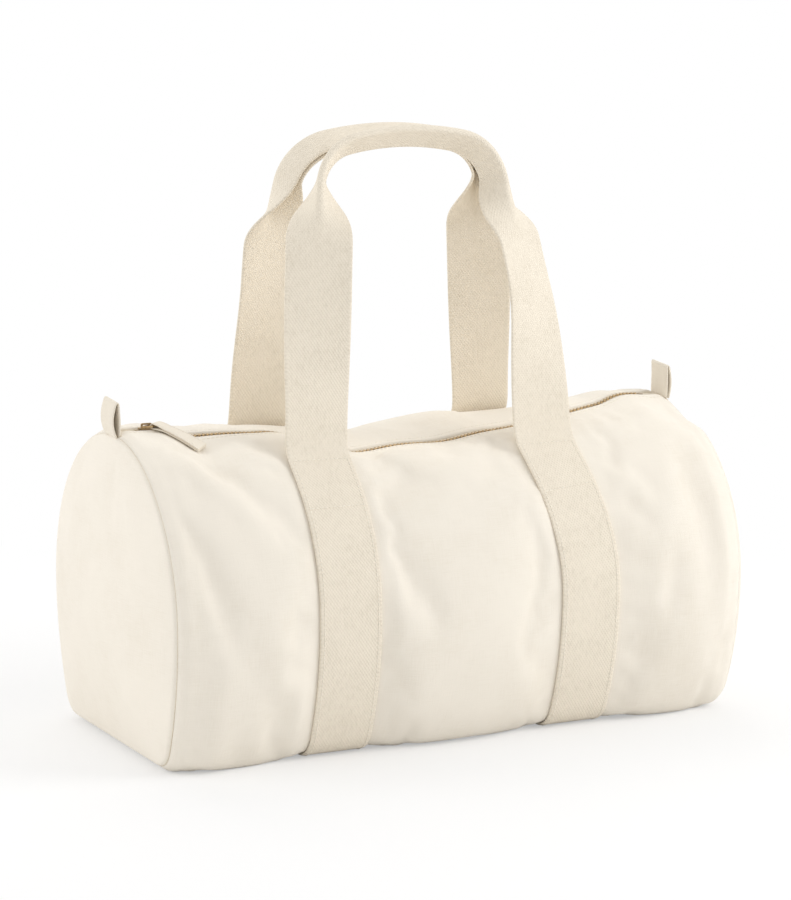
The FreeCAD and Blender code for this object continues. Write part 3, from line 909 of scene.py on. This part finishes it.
# Rows blurred in a leg's stray, and rows each way and rounds to soften the hinge's corner
STRAY_BLUR = 17
SOFTEN_SPOTS, SOFTEN_DIRECTIONS = (9, 14), (10, 22)
# How far each slack leg strays outwards at shares of its length, as shares of the leg shift: the left and
# right legs of the front handle, then of the rear one
LEG_SHARES = (0.0, 0.25, 0.5, 0.75, 1.0, 1.5)
LEG_STRAYS = {
    -1: ((0.0, 0.0, 0.0, 0.0, 0.0, 0.0), (-1.0, -0.35, 0.2, 0.0, -0.3, 0.0)),
    1: ((-0.95, -0.35, 0.2, 0.85, 0.9, 0.0), (0.45, 0.45, 0.45, 0.4, 0.3, 0.0)),
}


def handle_half(sizes, count):
    """Half of a handle from its left foot to the middle of the grip: run, rise, heading and leg share."""
    lean, slope, corner = sizes.leg_lean, sizes.grip_slope, sizes.corner_round
    turn = math.pi / 2 - slope
    across = sizes.strap_spacing / 2 - corner * (math.cos(lean) - math.cos(turn))
    up = sizes.handle_rise - corner * (math.sin(turn) - math.sin(lean))
    sides = [[math.sin(lean), math.cos(turn)], [math.cos(lean), 1 - math.sin(turn)]]
    leg, grip = np.linalg.solve(sides, [across, up])
    corner_length = corner * (turn - lean)
    grip_length = grip * slope
    travel = np.linspace(0, leg + corner_length + grip_length, count)
    on_leg = np.minimum(travel, leg)
    bent = np.clip(travel - leg, 0, corner_length) / corner
    sloped = np.clip(travel - leg - corner_length, 0, grip_length) / grip
    run = on_leg * math.sin(lean) + corner * (math.cos(lean) - np.cos(lean + bent))
    rise = on_leg * math.cos(lean) + corner * (np.sin(lean + bent) - math.sin(lean))
    run += grip * (math.cos(turn) - np.cos(turn + sloped))
    rise += grip * (np.sin(turn + sloped) - math.sin(turn))
    return run, rise, lean + bent + sloped, travel / leg


def soften(rows, reach, rounds):
    """Round off the corner at the hinge in a line of points."""
    rows = rows.copy()
    low, high = STRAP_ROWS - 1 - reach, STRAP_ROWS + reach
    for _ in range(rounds):
        rows[low:high] = (rows[low - 1:high - 1] + 2 * rows[low:high] + rows[low + 1:high + 1]) / 4
    return rows


def webbing_path(sizes, side):
    """Places, directions and fold angles along one strip, from under the left strap to under the right."""
    strap = sizes.strap_spacing / 2
    hinge = girth_at(sizes, sizes.hinge_angle)
    lift = LAYER_GAP + sizes.webbing_thickness / 2
    hinge_lift = lift + HINGE_LIFT
    around = np.linspace(half_girth(sizes), hinge, STRAP_ROWS)
    raised = lift + (hinge_lift - lift) * eased(around, hinge + LIFT_REACH, hinge)
    _, _, ny, nz = outline(sizes, side * around)
    sewn_deep = np.stack([np.zeros_like(ny), -ny, -nz], axis=-1)
    hy, hz, hny, hnz = (float(part[0]) for part in outline(sizes, np.array([side * hinge])))
    foot = np.array([0.0, hy + hny * hinge_lift, hz + hnz * hinge_lift])
    lean = sizes.handle_lean
    upward = np.array([0.0, -side * math.sin(lean), math.cos(lean)])
    inward = np.array([0.0, -side * math.cos(lean), -math.sin(lean)])
    level = np.array([1.0, 0.0, 0.0])
    run, rise, heading, leg_share = handle_half(sizes, HANDLE_ROWS)
    twist = sizes.fold_tilt * eased(leg_share, *TWIST_SHARES)
    open_half = OPEN_ANGLE - FOLD_TURN * eased(leg_share, *FOLD_SHARES)
    spots, deeps = [], []
    for sign, leg_strays in zip((-1, 1), LEG_STRAYS[side]):
        strays = np.array(leg_strays) * sizes.leg_shift
        drift = strays[0] * eased(around, hinge + DRIFT_REACH, hinge)
        middle = sign * (strap + drift)
        sewn = canvas(sizes, middle, side * around, raised - swell(sizes, middle, side * around))
        sewn[:, 2] = np.maximum(sewn[:, 2], sizes.webbing_thickness / 2 + FLOOR_GAP)
        stray = np.pad(np.interp(leg_share, LEG_SHARES, strays), STRAY_BLUR // 2, mode="edge")
        stray = np.convolve(stray, np.full(STRAY_BLUR, 1 / STRAY_BLUR), mode="valid")
        x = sign * (strap - run + stray)
        spot = foot + x[:, None] * level + rise[:, None] * upward
        spot += (sewn[-1] - foot) * (0, 1, 1) * (1 - eased(rise, 0.0, FOOT_REACH))[:, None]
        within = -sign * np.cos(heading)[:, None] * level - np.sin(heading)[:, None] * upward
        deep = np.cos(twist)[:, None] * inward + np.sin(twist)[:, None] * within
        spots.append(soften(np.vstack([sewn, spot[1:]]), *SOFTEN_SPOTS))
        deeps.append(soften(np.vstack([sewn_deep, deep[1:]]), *SOFTEN_DIRECTIONS))
    half = np.concatenate([np.full(STRAP_ROWS, OPEN_ANGLE), open_half[1:]])
    spot = np.vstack([spots[0], spots[1][-2::-1]])
    deep = np.vstack([deeps[0], deeps[1][-2::-1]])
    ahead = unit(np.gradient(spot, axis=0))
    return spot, ahead, square_to(deep, ahead), np.concatenate([half, half[-2::-1]])


def webbing_points(sizes, path, row, across):
    """Points and normals of the folded webbing at fractional rows of its path and places across it."""
    spot, ahead, deep, half_angle = path
    index = np.arange(len(spot))
    at, forward, into = (between_rows(row, index, table) for table in (spot, ahead, deep))
    wide = unit(np.cross(into, forward))
    beta = np.interp(row, index, half_angle)
    flat = (sizes.webbing_thickness + sizes.fold_gap) / 2
    side = np.where(across < 0, -1.0, 1.0)
    near = np.minimum(np.abs(across), flat)
    far = np.maximum(np.abs(across) - flat, 0)
    points = at + wide * (side * near)[:, None]
    points += into * (np.cos(beta) * far)[:, None] + wide * (side * np.sin(beta) * far)[:, None]
    normal = -into * np.sin(beta)[:, None] + wide * (side * np.cos(beta))[:, None]
    return points, normal


class BAG_OT_webbing(bpy.types.Operator):
    """Webbing strips that run from under the base, up the canvas and over as the handles"""

    bl_idname = "barrel_bag.webbing"
    bl_label = "Straps and handles"

    def execute(self, context):
        sizes, colours = settings_of(context)
        material = plain_webbing("cotton_webbing", tuple(colours.webbing), sizes.webbing_width)
        for side, name in FACES:
            path = webbing_path(sizes, side)
            line = path[0]
            piece, share_across, share_along = cloth_strip(name + "_webbing", WEBBING_COLUMNS, len(line) - 1)
            across = (share_across - 0.5) * sizes.webbing_width
            row = share_along * (len(line) - 1)
            points, _ = webbing_points(sizes, path, row, across)
            place_points(piece, points)
            travel = np.interp(row, np.arange(len(line)), travelled(line))
            lay_uv(piece, across + sizes.webbing_width / 2, travel)
            face_out(piece, (0, 0, sizes.body_height / 2))
            thicken(piece, sizes.webbing_thickness, 0.0)
            smooth_mesh(piece)
            finish_piece(piece, material, None)
            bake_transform(piece)
            if side < 0:
                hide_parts("front_handle", "left_strap", "right_strap")
            else:
                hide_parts("rear_handle")
        return {"FINISHED"}


# Zip

TAPE_GRID = (180, 6)
TAPE_WARP, TAPE_WEFT, TAPE_THICKNESS = 0.0010, 0.0018, 0.0007
TAPE_UNDER, TAPE_SHORT = 0.0006, 0.0012
# A tape's inner edge stands off beside the teeth, and comes in between two distances past them
TAPE_STANDOFF, TAPE_CLOSE, TAPE_CLOSE_START, TAPE_CLOSE_END = 0.0016, 0.0015, 0.001, 0.006
TOOTH_SIZE, TOOTH_BEVEL, TOOTH_OFFSET = (0.00125, 0.0036, 0.0024), 0.00028, 0.0010
TOOTH_START, TOOTH_LINE, TOOTH_UNDER = 0.00055, 0.0001, 0.0005


class BAG_OT_zip(bpy.types.Operator):
    """Zip tapes and teeth that follow the soft line of the opening"""

    bl_idname = "barrel_bag.zip"
    bl_label = "Zip"

    def execute(self, context):
        sizes, colours = settings_of(context)
        tape = plain_webbing(
            "zip_tape_weave", tuple(colours.tape), sizes.tape_reach, TAPE_WARP, TAPE_WEFT)
        brass = aged_brass("zip_brass", tuple(colours.brass))
        under = sizes.canvas_thickness + TAPE_UNDER
        span = sizes.body_length - TAPE_SHORT
        for side, name in FACES:
            piece, along, share_across = cloth_strip(name + "_tape", *TAPE_GRID)
            x = (along - 0.5) * span
            closed = eased(np.abs(x), TEETH_HIGH[0] + TAPE_CLOSE_START, TEETH_HIGH[0] + TAPE_CLOSE_END)
            inner = TAPE_STANDOFF - TAPE_CLOSE * closed
            reach = inner + share_across * (sizes.tape_reach - inner)
            place_points(piece, canvas(sizes, x, side * reach, -under))
            lay_uv(piece, reach, x)
            face_out(piece)
            thicken(piece, TAPE_THICKNESS, 0.0)
            finish_piece(piece, tape, "bag")
            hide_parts(name + "_zip_tape")
            row = self.tooth_row(sizes, side, name)
            finish_piece(row, brass, "bag")
            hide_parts(name + "_zip_teeth")
        return {"FINISHED"}

    def tooth_row(self, sizes, side, name):
        """One row of teeth: a tooth is modelled, then copied along the tape."""
        deselect()
        bpy.ops.mesh.primitive_cube_add(size=1.0)
        tooth = bpy.context.object
        edit_all(tooth)
        bpy.ops.transform.resize(value=TOOTH_SIZE)
        bpy.ops.mesh.bevel(offset=TOOTH_BEVEL, segments=1, affect="EDGES")
        bpy.ops.transform.translate(value=(0, side * TOOTH_OFFSET, 0))
        bpy.ops.object.mode_set(mode="OBJECT")
        shape, faces = take_shape(tooth)
        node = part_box(name + "_zip_teeth")
        places = np.arange(node[0][0] + TOOTH_START, node[1][0], sizes.tooth_pitch)
        line = np.full_like(places, side * TOOTH_LINE)
        spots = canvas(sizes, places, line, -sizes.canvas_thickness - TOOTH_UNDER)
        return join_copies(name + "_teeth", [shape + spot for spot in spots], faces)


class BAG_OT_metal(bpy.types.Operator):
    """Aged brass on the slider, its ring and the stops"""

    bl_idname = "barrel_bag.metal"
    bl_label = "Zip metal"

    def execute(self, context):
        _, colours = settings_of(context)
        brass = aged_brass("slider_brass", tuple(colours.brass))
        for name in ("zip_slider", "zip_pull_ring", "zip_bottom_stop", "front_top_stop", "rear_top_stop"):
            node = bpy.data.objects[name]
            if node.material_slots:
                for holder in node.material_slots:
                    holder.material = brass
            else:
                node.data.materials.append(brass)
        return {"FINISHED"}


# Loops and puller

SMALL_THREAD = 0.0011
LOOP_TONE, LOOP_COLUMNS, LOOP_ROWS, LOOP_THICKNESS = 0.93, 14, 22, 0.0015
# A loop starts below its solid's foot and ends below its top. Its sides close to a half gap at the foot and
# to a share of it at the top crease, and it leans out a little
LOOP_FOOT, LOOP_TOP = 0.0040, 0.0008
LOOP_INSET, LOOP_HALF_GAP, LOOP_ROUND = 0.0008, 0.0009, 0.85
LOOP_CREASE, LOOP_CREASE_SHARE, LOOP_LEAN = 0.985, 0.45, 0.0012
LOOP_OPENNESS = {"left": 1.0, "right": 0.62}

PULLER_TONE, PULLER_COLUMNS, PULLER_ROWS, PULLER_THICKNESS = 0.96, 8, 22, 0.0011
# The ring's far side from the slider's middle, its height, and the puller's slope from there
RING_REACH, RING_HEIGHT, PULLER_PITCH = 0.008517, 0.24114, math.radians(-7.42)
# The cloth's turn round the ring: where it begins, its radius, half angle and rows
TURN_START, TURN_RADIUS, TURN_HALF, TURN_ROWS = 0.0035, 0.0019, 1.25, 11
# Half gap of the doubled cloth, what the ring adds and how far, and the droop of the free end
PULLER_GAP, RING_GAP, RING_GAP_REACH = 0.0007, 0.0012, 0.010
PULLER_DROOP, DROOP_POWER = -0.0095, 1.5


def ribbon(name, profile, width, across, thickness, columns):
    """Strip of cloth that follows a profile, wide along one direction or one for each row."""
    profile = np.asarray(profile, dtype=float)
    piece, share_across, share_along = cloth_strip(name, columns, len(profile) - 1)
    row = share_along * (len(profile) - 1)
    index = np.arange(len(profile))
    across = np.broadcast_to(np.asarray(across, dtype=float), profile.shape)
    points = between_rows(row, index, profile)
    points += ((share_across - 0.5) * width)[:, None] * between_rows(row, index, across)
    place_points(piece, points)
    lay_uv(piece, share_across * width, np.interp(row, index, travelled(profile)))
    face_out(piece, points.mean(axis=0))
    thicken(piece, thickness, 0.0)
    smooth_mesh(piece)
    return piece


class BAG_OT_end_loops(bpy.types.Operator):
    """Small fabric loops that stand at the ends of the zip"""

    bl_idname = "barrel_bag.end_loops"
    bl_label = "End loops"

    def execute(self, context):
        sizes, colours = settings_of(context)
        material = woven_canvas("loop_canvas", shade(tuple(colours.canvas), LOOP_TONE), SMALL_THREAD)
        across = (0.0, math.cos(sizes.loop_tilt), math.sin(sizes.loop_tilt))
        rise = np.concatenate([np.linspace(0, 1, LOOP_ROWS), np.linspace(1, 0, LOOP_ROWS)[1:]])
        sign = np.where(np.arange(len(rise)) < LOOP_ROWS, -1.0, 1.0)
        for side, name in ENDS:
            low, high = (np.array(corner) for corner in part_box(name + "_end_loop"))
            middle = (low + high) / 2
            foot = low[2] - LOOP_FOOT
            tall = high[2] - foot - LOOP_TOP
            eye = LOOP_OPENNESS[name] * sizes.loop_bulge / 2 - LOOP_INSET
            half = eye * np.sin(math.pi * rise ** LOOP_ROUND) + LOOP_HALF_GAP
            half = half * np.where(rise > LOOP_CREASE, LOOP_CREASE_SHARE, 1.0)
            x = middle[0] + sign * half + side * LOOP_LEAN * np.sin(math.pi * rise)
            profile = np.stack([x, np.full_like(x, middle[1]), foot + rise * tall], axis=-1)
            piece = ribbon(
                name + "_cloth_loop", profile, sizes.loop_width, across, LOOP_THICKNESS, LOOP_COLUMNS)
            finish_piece(piece, material, None)
            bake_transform(piece)
            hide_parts(name + "_end_loop")
        return {"FINISHED"}


def puller_profile(sizes):
    """Line of the puller's cloth, from its end, round the ring and back, with its directions."""
    yaw, reach = sizes.pull_yaw, sizes.puller_length
    along = np.array([math.cos(yaw), -math.sin(yaw), 0.0])
    across = np.array([math.sin(yaw), math.cos(yaw), 0.0])
    slider = np.mean([list(corner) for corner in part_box("zip_slider")], axis=0)
    far = slider * (1, 1, 0) + along * RING_REACH + np.array([0, 0, RING_HEIGHT])
    ahead = along * math.cos(PULLER_PITCH) + np.array([0, 0, math.sin(PULLER_PITCH)])
    up = np.cross(across, ahead)
    up = up if up[2] > 0 else -up
    out = np.linspace(reach, TURN_START, PULLER_ROWS)
    gap = PULLER_GAP + RING_GAP * (1 - eased(out, 0.0, RING_GAP_REACH))
    droop = PULLER_DROOP * (out / reach) ** DROOP_POWER
    bend = np.linspace(-TURN_HALF, TURN_HALF, TURN_ROWS)
    forward = np.concatenate([out, -TURN_RADIUS * np.cos(bend), out[::-1]])
    height = np.concatenate([droop - gap, TURN_RADIUS * np.sin(bend), (gap + droop)[::-1]])
    roll = math.tan(sizes.puller_roll) * np.concatenate([out / reach, np.zeros(TURN_ROWS), out[::-1] / reach])
    profile = far + forward[:, None] * ahead + height[:, None] * up
    return profile, across + up * roll[:, None], up


class BAG_OT_puller(bpy.types.Operator):
    """Doubled strip of canvas that pulls the zip, turned round the ring"""

    bl_idname = "barrel_bag.puller"
    bl_label = "Fabric puller"

    def execute(self, context):
        sizes, colours = settings_of(context)
        material = woven_canvas("puller_canvas", shade(tuple(colours.canvas), PULLER_TONE), SMALL_THREAD)
        profile, across, _ = puller_profile(sizes)
        piece = ribbon(
            "cloth_puller", profile, sizes.puller_width, across, PULLER_THICKNESS, PULLER_COLUMNS)
        finish_piece(piece, material, "puller")
        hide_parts("fabric_puller")
        return {"FINISHED"}


# Stitches

# Across a stitch, its height, and how far to each side its direction is taken
STITCH_WIDTH, STITCH_HEIGHT, STITCH_AHEAD = 0.0009, 0.00070, 0.001
STITCH_SIDES, STITCH_BEVEL = 6, 0.16
# Path rows where a strap's stitches begin, where they end at the hinge, and of the lower row across
SEW_START, SEW_END, SEW_ACROSS = 6, 89, 77.5
SEW_SAMPLES, ACROSS_SAMPLES, HEM_SAMPLES = 400, 60, 500
SEW_INSET, SEW_PROUD, HEM_SHORT = 0.0034, 0.0001, 0.008
# The puller's two rows lie on these rows of its upper cloth
PULLER_SEWN = slice(-20, -2)
PULLER_SEW_INSET, PULLER_SEW_PROUD = 0.0018, 0.0006


def on_cloth(points):
    """Nearest places on the finished body canvas, with the directions out of it."""
    cloth = bpy.data.objects["canvas_body"]
    found = [cloth.closest_point_on_mesh(Vector(point))[1:3] for point in points]
    spots = np.array([tuple(spot) for spot, _ in found])
    normals = np.array([tuple(normal) for _, normal in found])
    return spots, normals


class BAG_OT_stitching(bpy.types.Operator):
    """Rows of stitches on the straps, the zip hem and the puller"""

    bl_idname = "barrel_bag.stitching"
    bl_label = "Stitching"

    def execute(self, context):
        sizes, colours = settings_of(context)
        thread = sewing_thread("cotton_thread", tuple(colours.thread))
        seam = sizes.body_length / 2 - HEM_SHORT
        x = np.linspace(-seam, seam, HEM_SAMPLES)
        rows = []
        for side, _ in FACES:
            rows += self.strap_rows(sizes, webbing_path(sizes, side))
            reach = np.full_like(x, side * (sizes.zip_opening / 2 + HEM_ROW))
            rows.append(on_cloth(canvas(sizes, x, reach)))
        piece = self.sew(sizes, "bag_stitches", rows)
        finish_piece(piece, thread, "bag")
        profile, across, up = puller_profile(sizes)
        upper = profile[PULLER_SEWN] + up * PULLER_SEW_PROUD
        edges = []
        for sign in (-1, 1):
            edge = upper + across[PULLER_SEWN] * sign * (sizes.puller_width / 2 - PULLER_SEW_INSET)
            edges.append((edge, np.tile(up, (len(edge), 1))))
        piece = self.sew(sizes, "puller_stitches", edges)
        finish_piece(piece, thread, "puller")
        return {"FINISHED"}

    def strap_rows(self, sizes, path):
        """Two rows up each strap, and two across it where the handle begins."""
        last = len(path[0]) - 1
        places = []
        for first, end in ((SEW_START, SEW_END), (last - SEW_END, last - SEW_START)):
            row = np.linspace(first, end, SEW_SAMPLES)
            for edge in (-1, 1):
                places.append((row, np.full_like(row, edge * (sizes.webbing_width / 2 - SEW_INSET))))
        across = np.linspace(-0.5, 0.5, ACROSS_SAMPLES) * (sizes.webbing_width - 2 * SEW_INSET)
        for level in (SEW_END, SEW_ACROSS, last - SEW_ACROSS, last - SEW_END):
            places.append((np.full_like(across, level), across))
        rows = []
        for row, across in places:
            points, normal = webbing_points(sizes, path, row, across)
            rows.append((points + normal * (sizes.webbing_thickness / 2 + SEW_PROUD), normal))
        return rows

    def sew(self, sizes, name, rows):
        """Copies of one modelled stitch along rows of points."""
        deselect()
        bpy.ops.mesh.primitive_cylinder_add(
            vertices=STITCH_SIDES, radius=0.5, depth=1.0, rotation=(0, math.pi / 2, 0))
        stitch = bpy.context.object
        bpy.ops.object.transform_apply(location=False, rotation=True, scale=False)
        edit_all(stitch)
        bpy.ops.mesh.bevel(offset=STITCH_BEVEL, segments=1, affect="EDGES")
        bpy.ops.object.mode_set(mode="OBJECT")
        shape, faces = take_shape(stitch)
        shape = shape * (sizes.stitch_length, STITCH_WIDTH, STITCH_HEIGHT)
        blocks = []
        for line, normals in rows:
            travel = travelled(line)
            places = np.arange(sizes.stitch_pitch / 2, travel[-1], sizes.stitch_pitch)
            before = between_rows(places - STITCH_AHEAD, travel, line)
            after = between_rows(places + STITCH_AHEAD, travel, line)
            ahead = unit(after - before)
            normal = square_to(between_rows(places, travel, normals), ahead)
            turns = np.stack([ahead, np.cross(normal, ahead), normal], axis=1)
            spots = between_rows(places, travel, line)
            blocks += [spot + shape @ turn for spot, turn in zip(spots, turns)]
        return join_copies(name, blocks, faces)


# Stage

FLOOR_SIZE, FLOOR_GRID = 24.0, 8
# The floor fades to white between two distances from the bag, and is this white beside it
FADE_START, FADE_END, FADE_LEAST = 0.34, 0.80, 0.40
WORLD_COLOUR, WORLD_STRENGTH = (1.0, 0.995, 0.985, 1.0), 0.68
WHITE = (1, 1, 1, 1)
# Lamps: name, place, point looked at, size and power
LAMPS = (
    ("key_light", (1.40, -1.05, 1.20), (0.1, 0, 0.15), 1.1, 16.5),
    ("left_light", (-2.0, 0.45, 1.1), (-0.2, 0, 0.15), 1.6, 13.5),
    ("back_light", (0.2, 1.6, 2.2), (0, 0, 0.2), 2.0, 15.0),
)
CAMERA_TURN, CAMERA_RISE, CAMERA_REACH = math.radians(26.5), math.radians(9.5), 2.316
CAMERA_TARGET = (0.0, 0.0, 0.193)
CAMERA_SENSOR, CAMERA_LENS, CAMERA_SHIFT = 36.0, 120.0, (-0.0033, 0.02)


def aim(thing, direction):
    """Turn a lamp or camera along a direction."""
    thing.rotation_euler = direction.to_track_quat("-Z", "Y").to_euler()


class BAG_OT_studio(bpy.types.Operator):
    """Pale floor, soft studio light and the camera"""

    bl_idname = "barrel_bag.studio"
    bl_label = "Studio"

    def execute(self, context):
        _, colours = settings_of(context)
        scene = context.scene
        scene.view_settings.view_transform = "Standard"
        deselect()
        bpy.ops.mesh.primitive_grid_add(
            x_subdivisions=FLOOR_GRID, y_subdivisions=FLOOR_GRID, size=FLOOR_SIZE, location=(0, 0, 0))
        floor = context.object
        floor.name = "studio_floor"
        floor.data.materials.append(self.floor_material(tuple(colours.floor)))
        self.world(scene)
        for lamp in LAMPS:
            self.lamp(*lamp)
        self.camera(scene)
        return {"FINISHED"}

    def floor_material(self, colour):
        """Pale floor that fades to the white backdrop away from the bag."""
        finish = Finish("studio_paper")
        finish.surface({"Base Color": (*colour, 1.0), "Roughness": 0.9, "Specular IOR Level": 0.0})
        place = finish.node("ShaderNodeTexCoord").outputs["Object"]
        reach = finish.node("ShaderNodeVectorMath", {0: place}, operation="LENGTH").outputs["Value"]
        inputs = {"Value": reach, "From Min": FADE_START, "From Max": FADE_END, "To Min": FADE_LEAST}
        fade = finish.node("ShaderNodeMapRange", inputs, interpolation_type="SMOOTHSTEP").outputs[0]
        glow = finish.node("ShaderNodeEmission", {"Color": WHITE})
        factor = finish.maths("MULTIPLY", fade, finish.seen())
        finish.mix_shaders(factor, finish.shader, glow, "Material Output")
        return finish.material

    def world(self, scene):
        """White backdrop for the camera, softer light for the bag."""
        world = bpy.data.worlds.new("studio_world")
        scene.world = world
        world.use_nodes = True
        nodes = Nodes(world.node_tree)
        light = nodes.tree.nodes["Background"]
        nodes.feed(light, {"Color": WORLD_COLOUR, "Strength": WORLD_STRENGTH})
        white = nodes.node("ShaderNodeBackground", {"Color": WHITE})
        nodes.mix_shaders(nodes.seen(), light, white, "World Output")

    def lamp(self, name, place, target, size, power):
        """Large soft lamp that looks at a point."""
        deselect()
        bpy.ops.object.light_add(type="AREA", location=place)
        lamp = bpy.context.object
        lamp.name = name
        lamp.data.size = size
        lamp.data.energy = power
        aim(lamp, Vector(target) - Vector(place))

    def camera(self, scene):
        """Long lens at the photograph's angle."""
        level = math.cos(CAMERA_RISE)
        back = Vector((-math.sin(CAMERA_TURN) * level, -math.cos(CAMERA_TURN) * level, math.sin(CAMERA_RISE)))
        deselect()
        bpy.ops.object.camera_add(location=Vector(CAMERA_TARGET) + back * CAMERA_REACH)
        camera = bpy.context.object
        camera.name = "photo_camera"
        aim(camera, -back)
        camera.data.sensor_width = CAMERA_SENSOR
        camera.data.lens = CAMERA_LENS
        camera.data.shift_x, camera.data.shift_y = CAMERA_SHIFT
        scene.camera = camera


class BAG_PT_panel(bpy.types.Panel):
    """Sidebar panel that lists the bag's pieces"""

    bl_idname = "BAG_PT_panel"
    bl_label = "Barrel Bag"
    bl_space_type = "VIEW_3D"
    bl_region_type = "UI"
    bl_category = "Barrel Bag"

    def draw(self, context):
        layout = self.layout
        for operator in OPERATORS:
            layout.operator(operator.bl_idname)
        for group in (context.scene.barrel_bag_sizes, context.scene.barrel_bag_colours):
            box = layout.box()
            for name in group.__annotations__:
                box.prop(group, name)


OPERATORS = (
    BAG_OT_studio,
    BAG_OT_canvas_body,
    BAG_OT_end_panels,
    BAG_OT_seam_bindings,
    BAG_OT_webbing,
    BAG_OT_zip,
    BAG_OT_metal,
    BAG_OT_end_loops,
    BAG_OT_puller,
    BAG_OT_stitching,
)
CLASSES = (BagSizes, BagColours) + OPERATORS + (BAG_PT_panel,)


def register():
    """Add the classes and the scene's settings."""
    for item in CLASSES:
        bpy.utils.register_class(item)
    bpy.types.Scene.barrel_bag_sizes = PointerProperty(type=BagSizes)
    bpy.types.Scene.barrel_bag_colours = PointerProperty(type=BagColours)


def unregister():
    """Take the classes and the settings away again."""
    del bpy.types.Scene.barrel_bag_colours
    del bpy.types.Scene.barrel_bag_sizes
    for item in reversed(CLASSES):
        bpy.utils.unregister_class(item)


def main():
    """Make the stage and every piece."""
    register()
    bpy.ops.barrel_bag.studio()
    bpy.ops.barrel_bag.canvas_body()
    bpy.ops.barrel_bag.end_panels()
    bpy.ops.barrel_bag.seam_bindings()
    bpy.ops.barrel_bag.webbing()
    bpy.ops.barrel_bag.zip()
    bpy.ops.barrel_bag.metal()
    bpy.ops.barrel_bag.end_loops()
    bpy.ops.barrel_bag.puller()
    bpy.ops.barrel_bag.stitching()


if __name__ == "__main__":
    main()
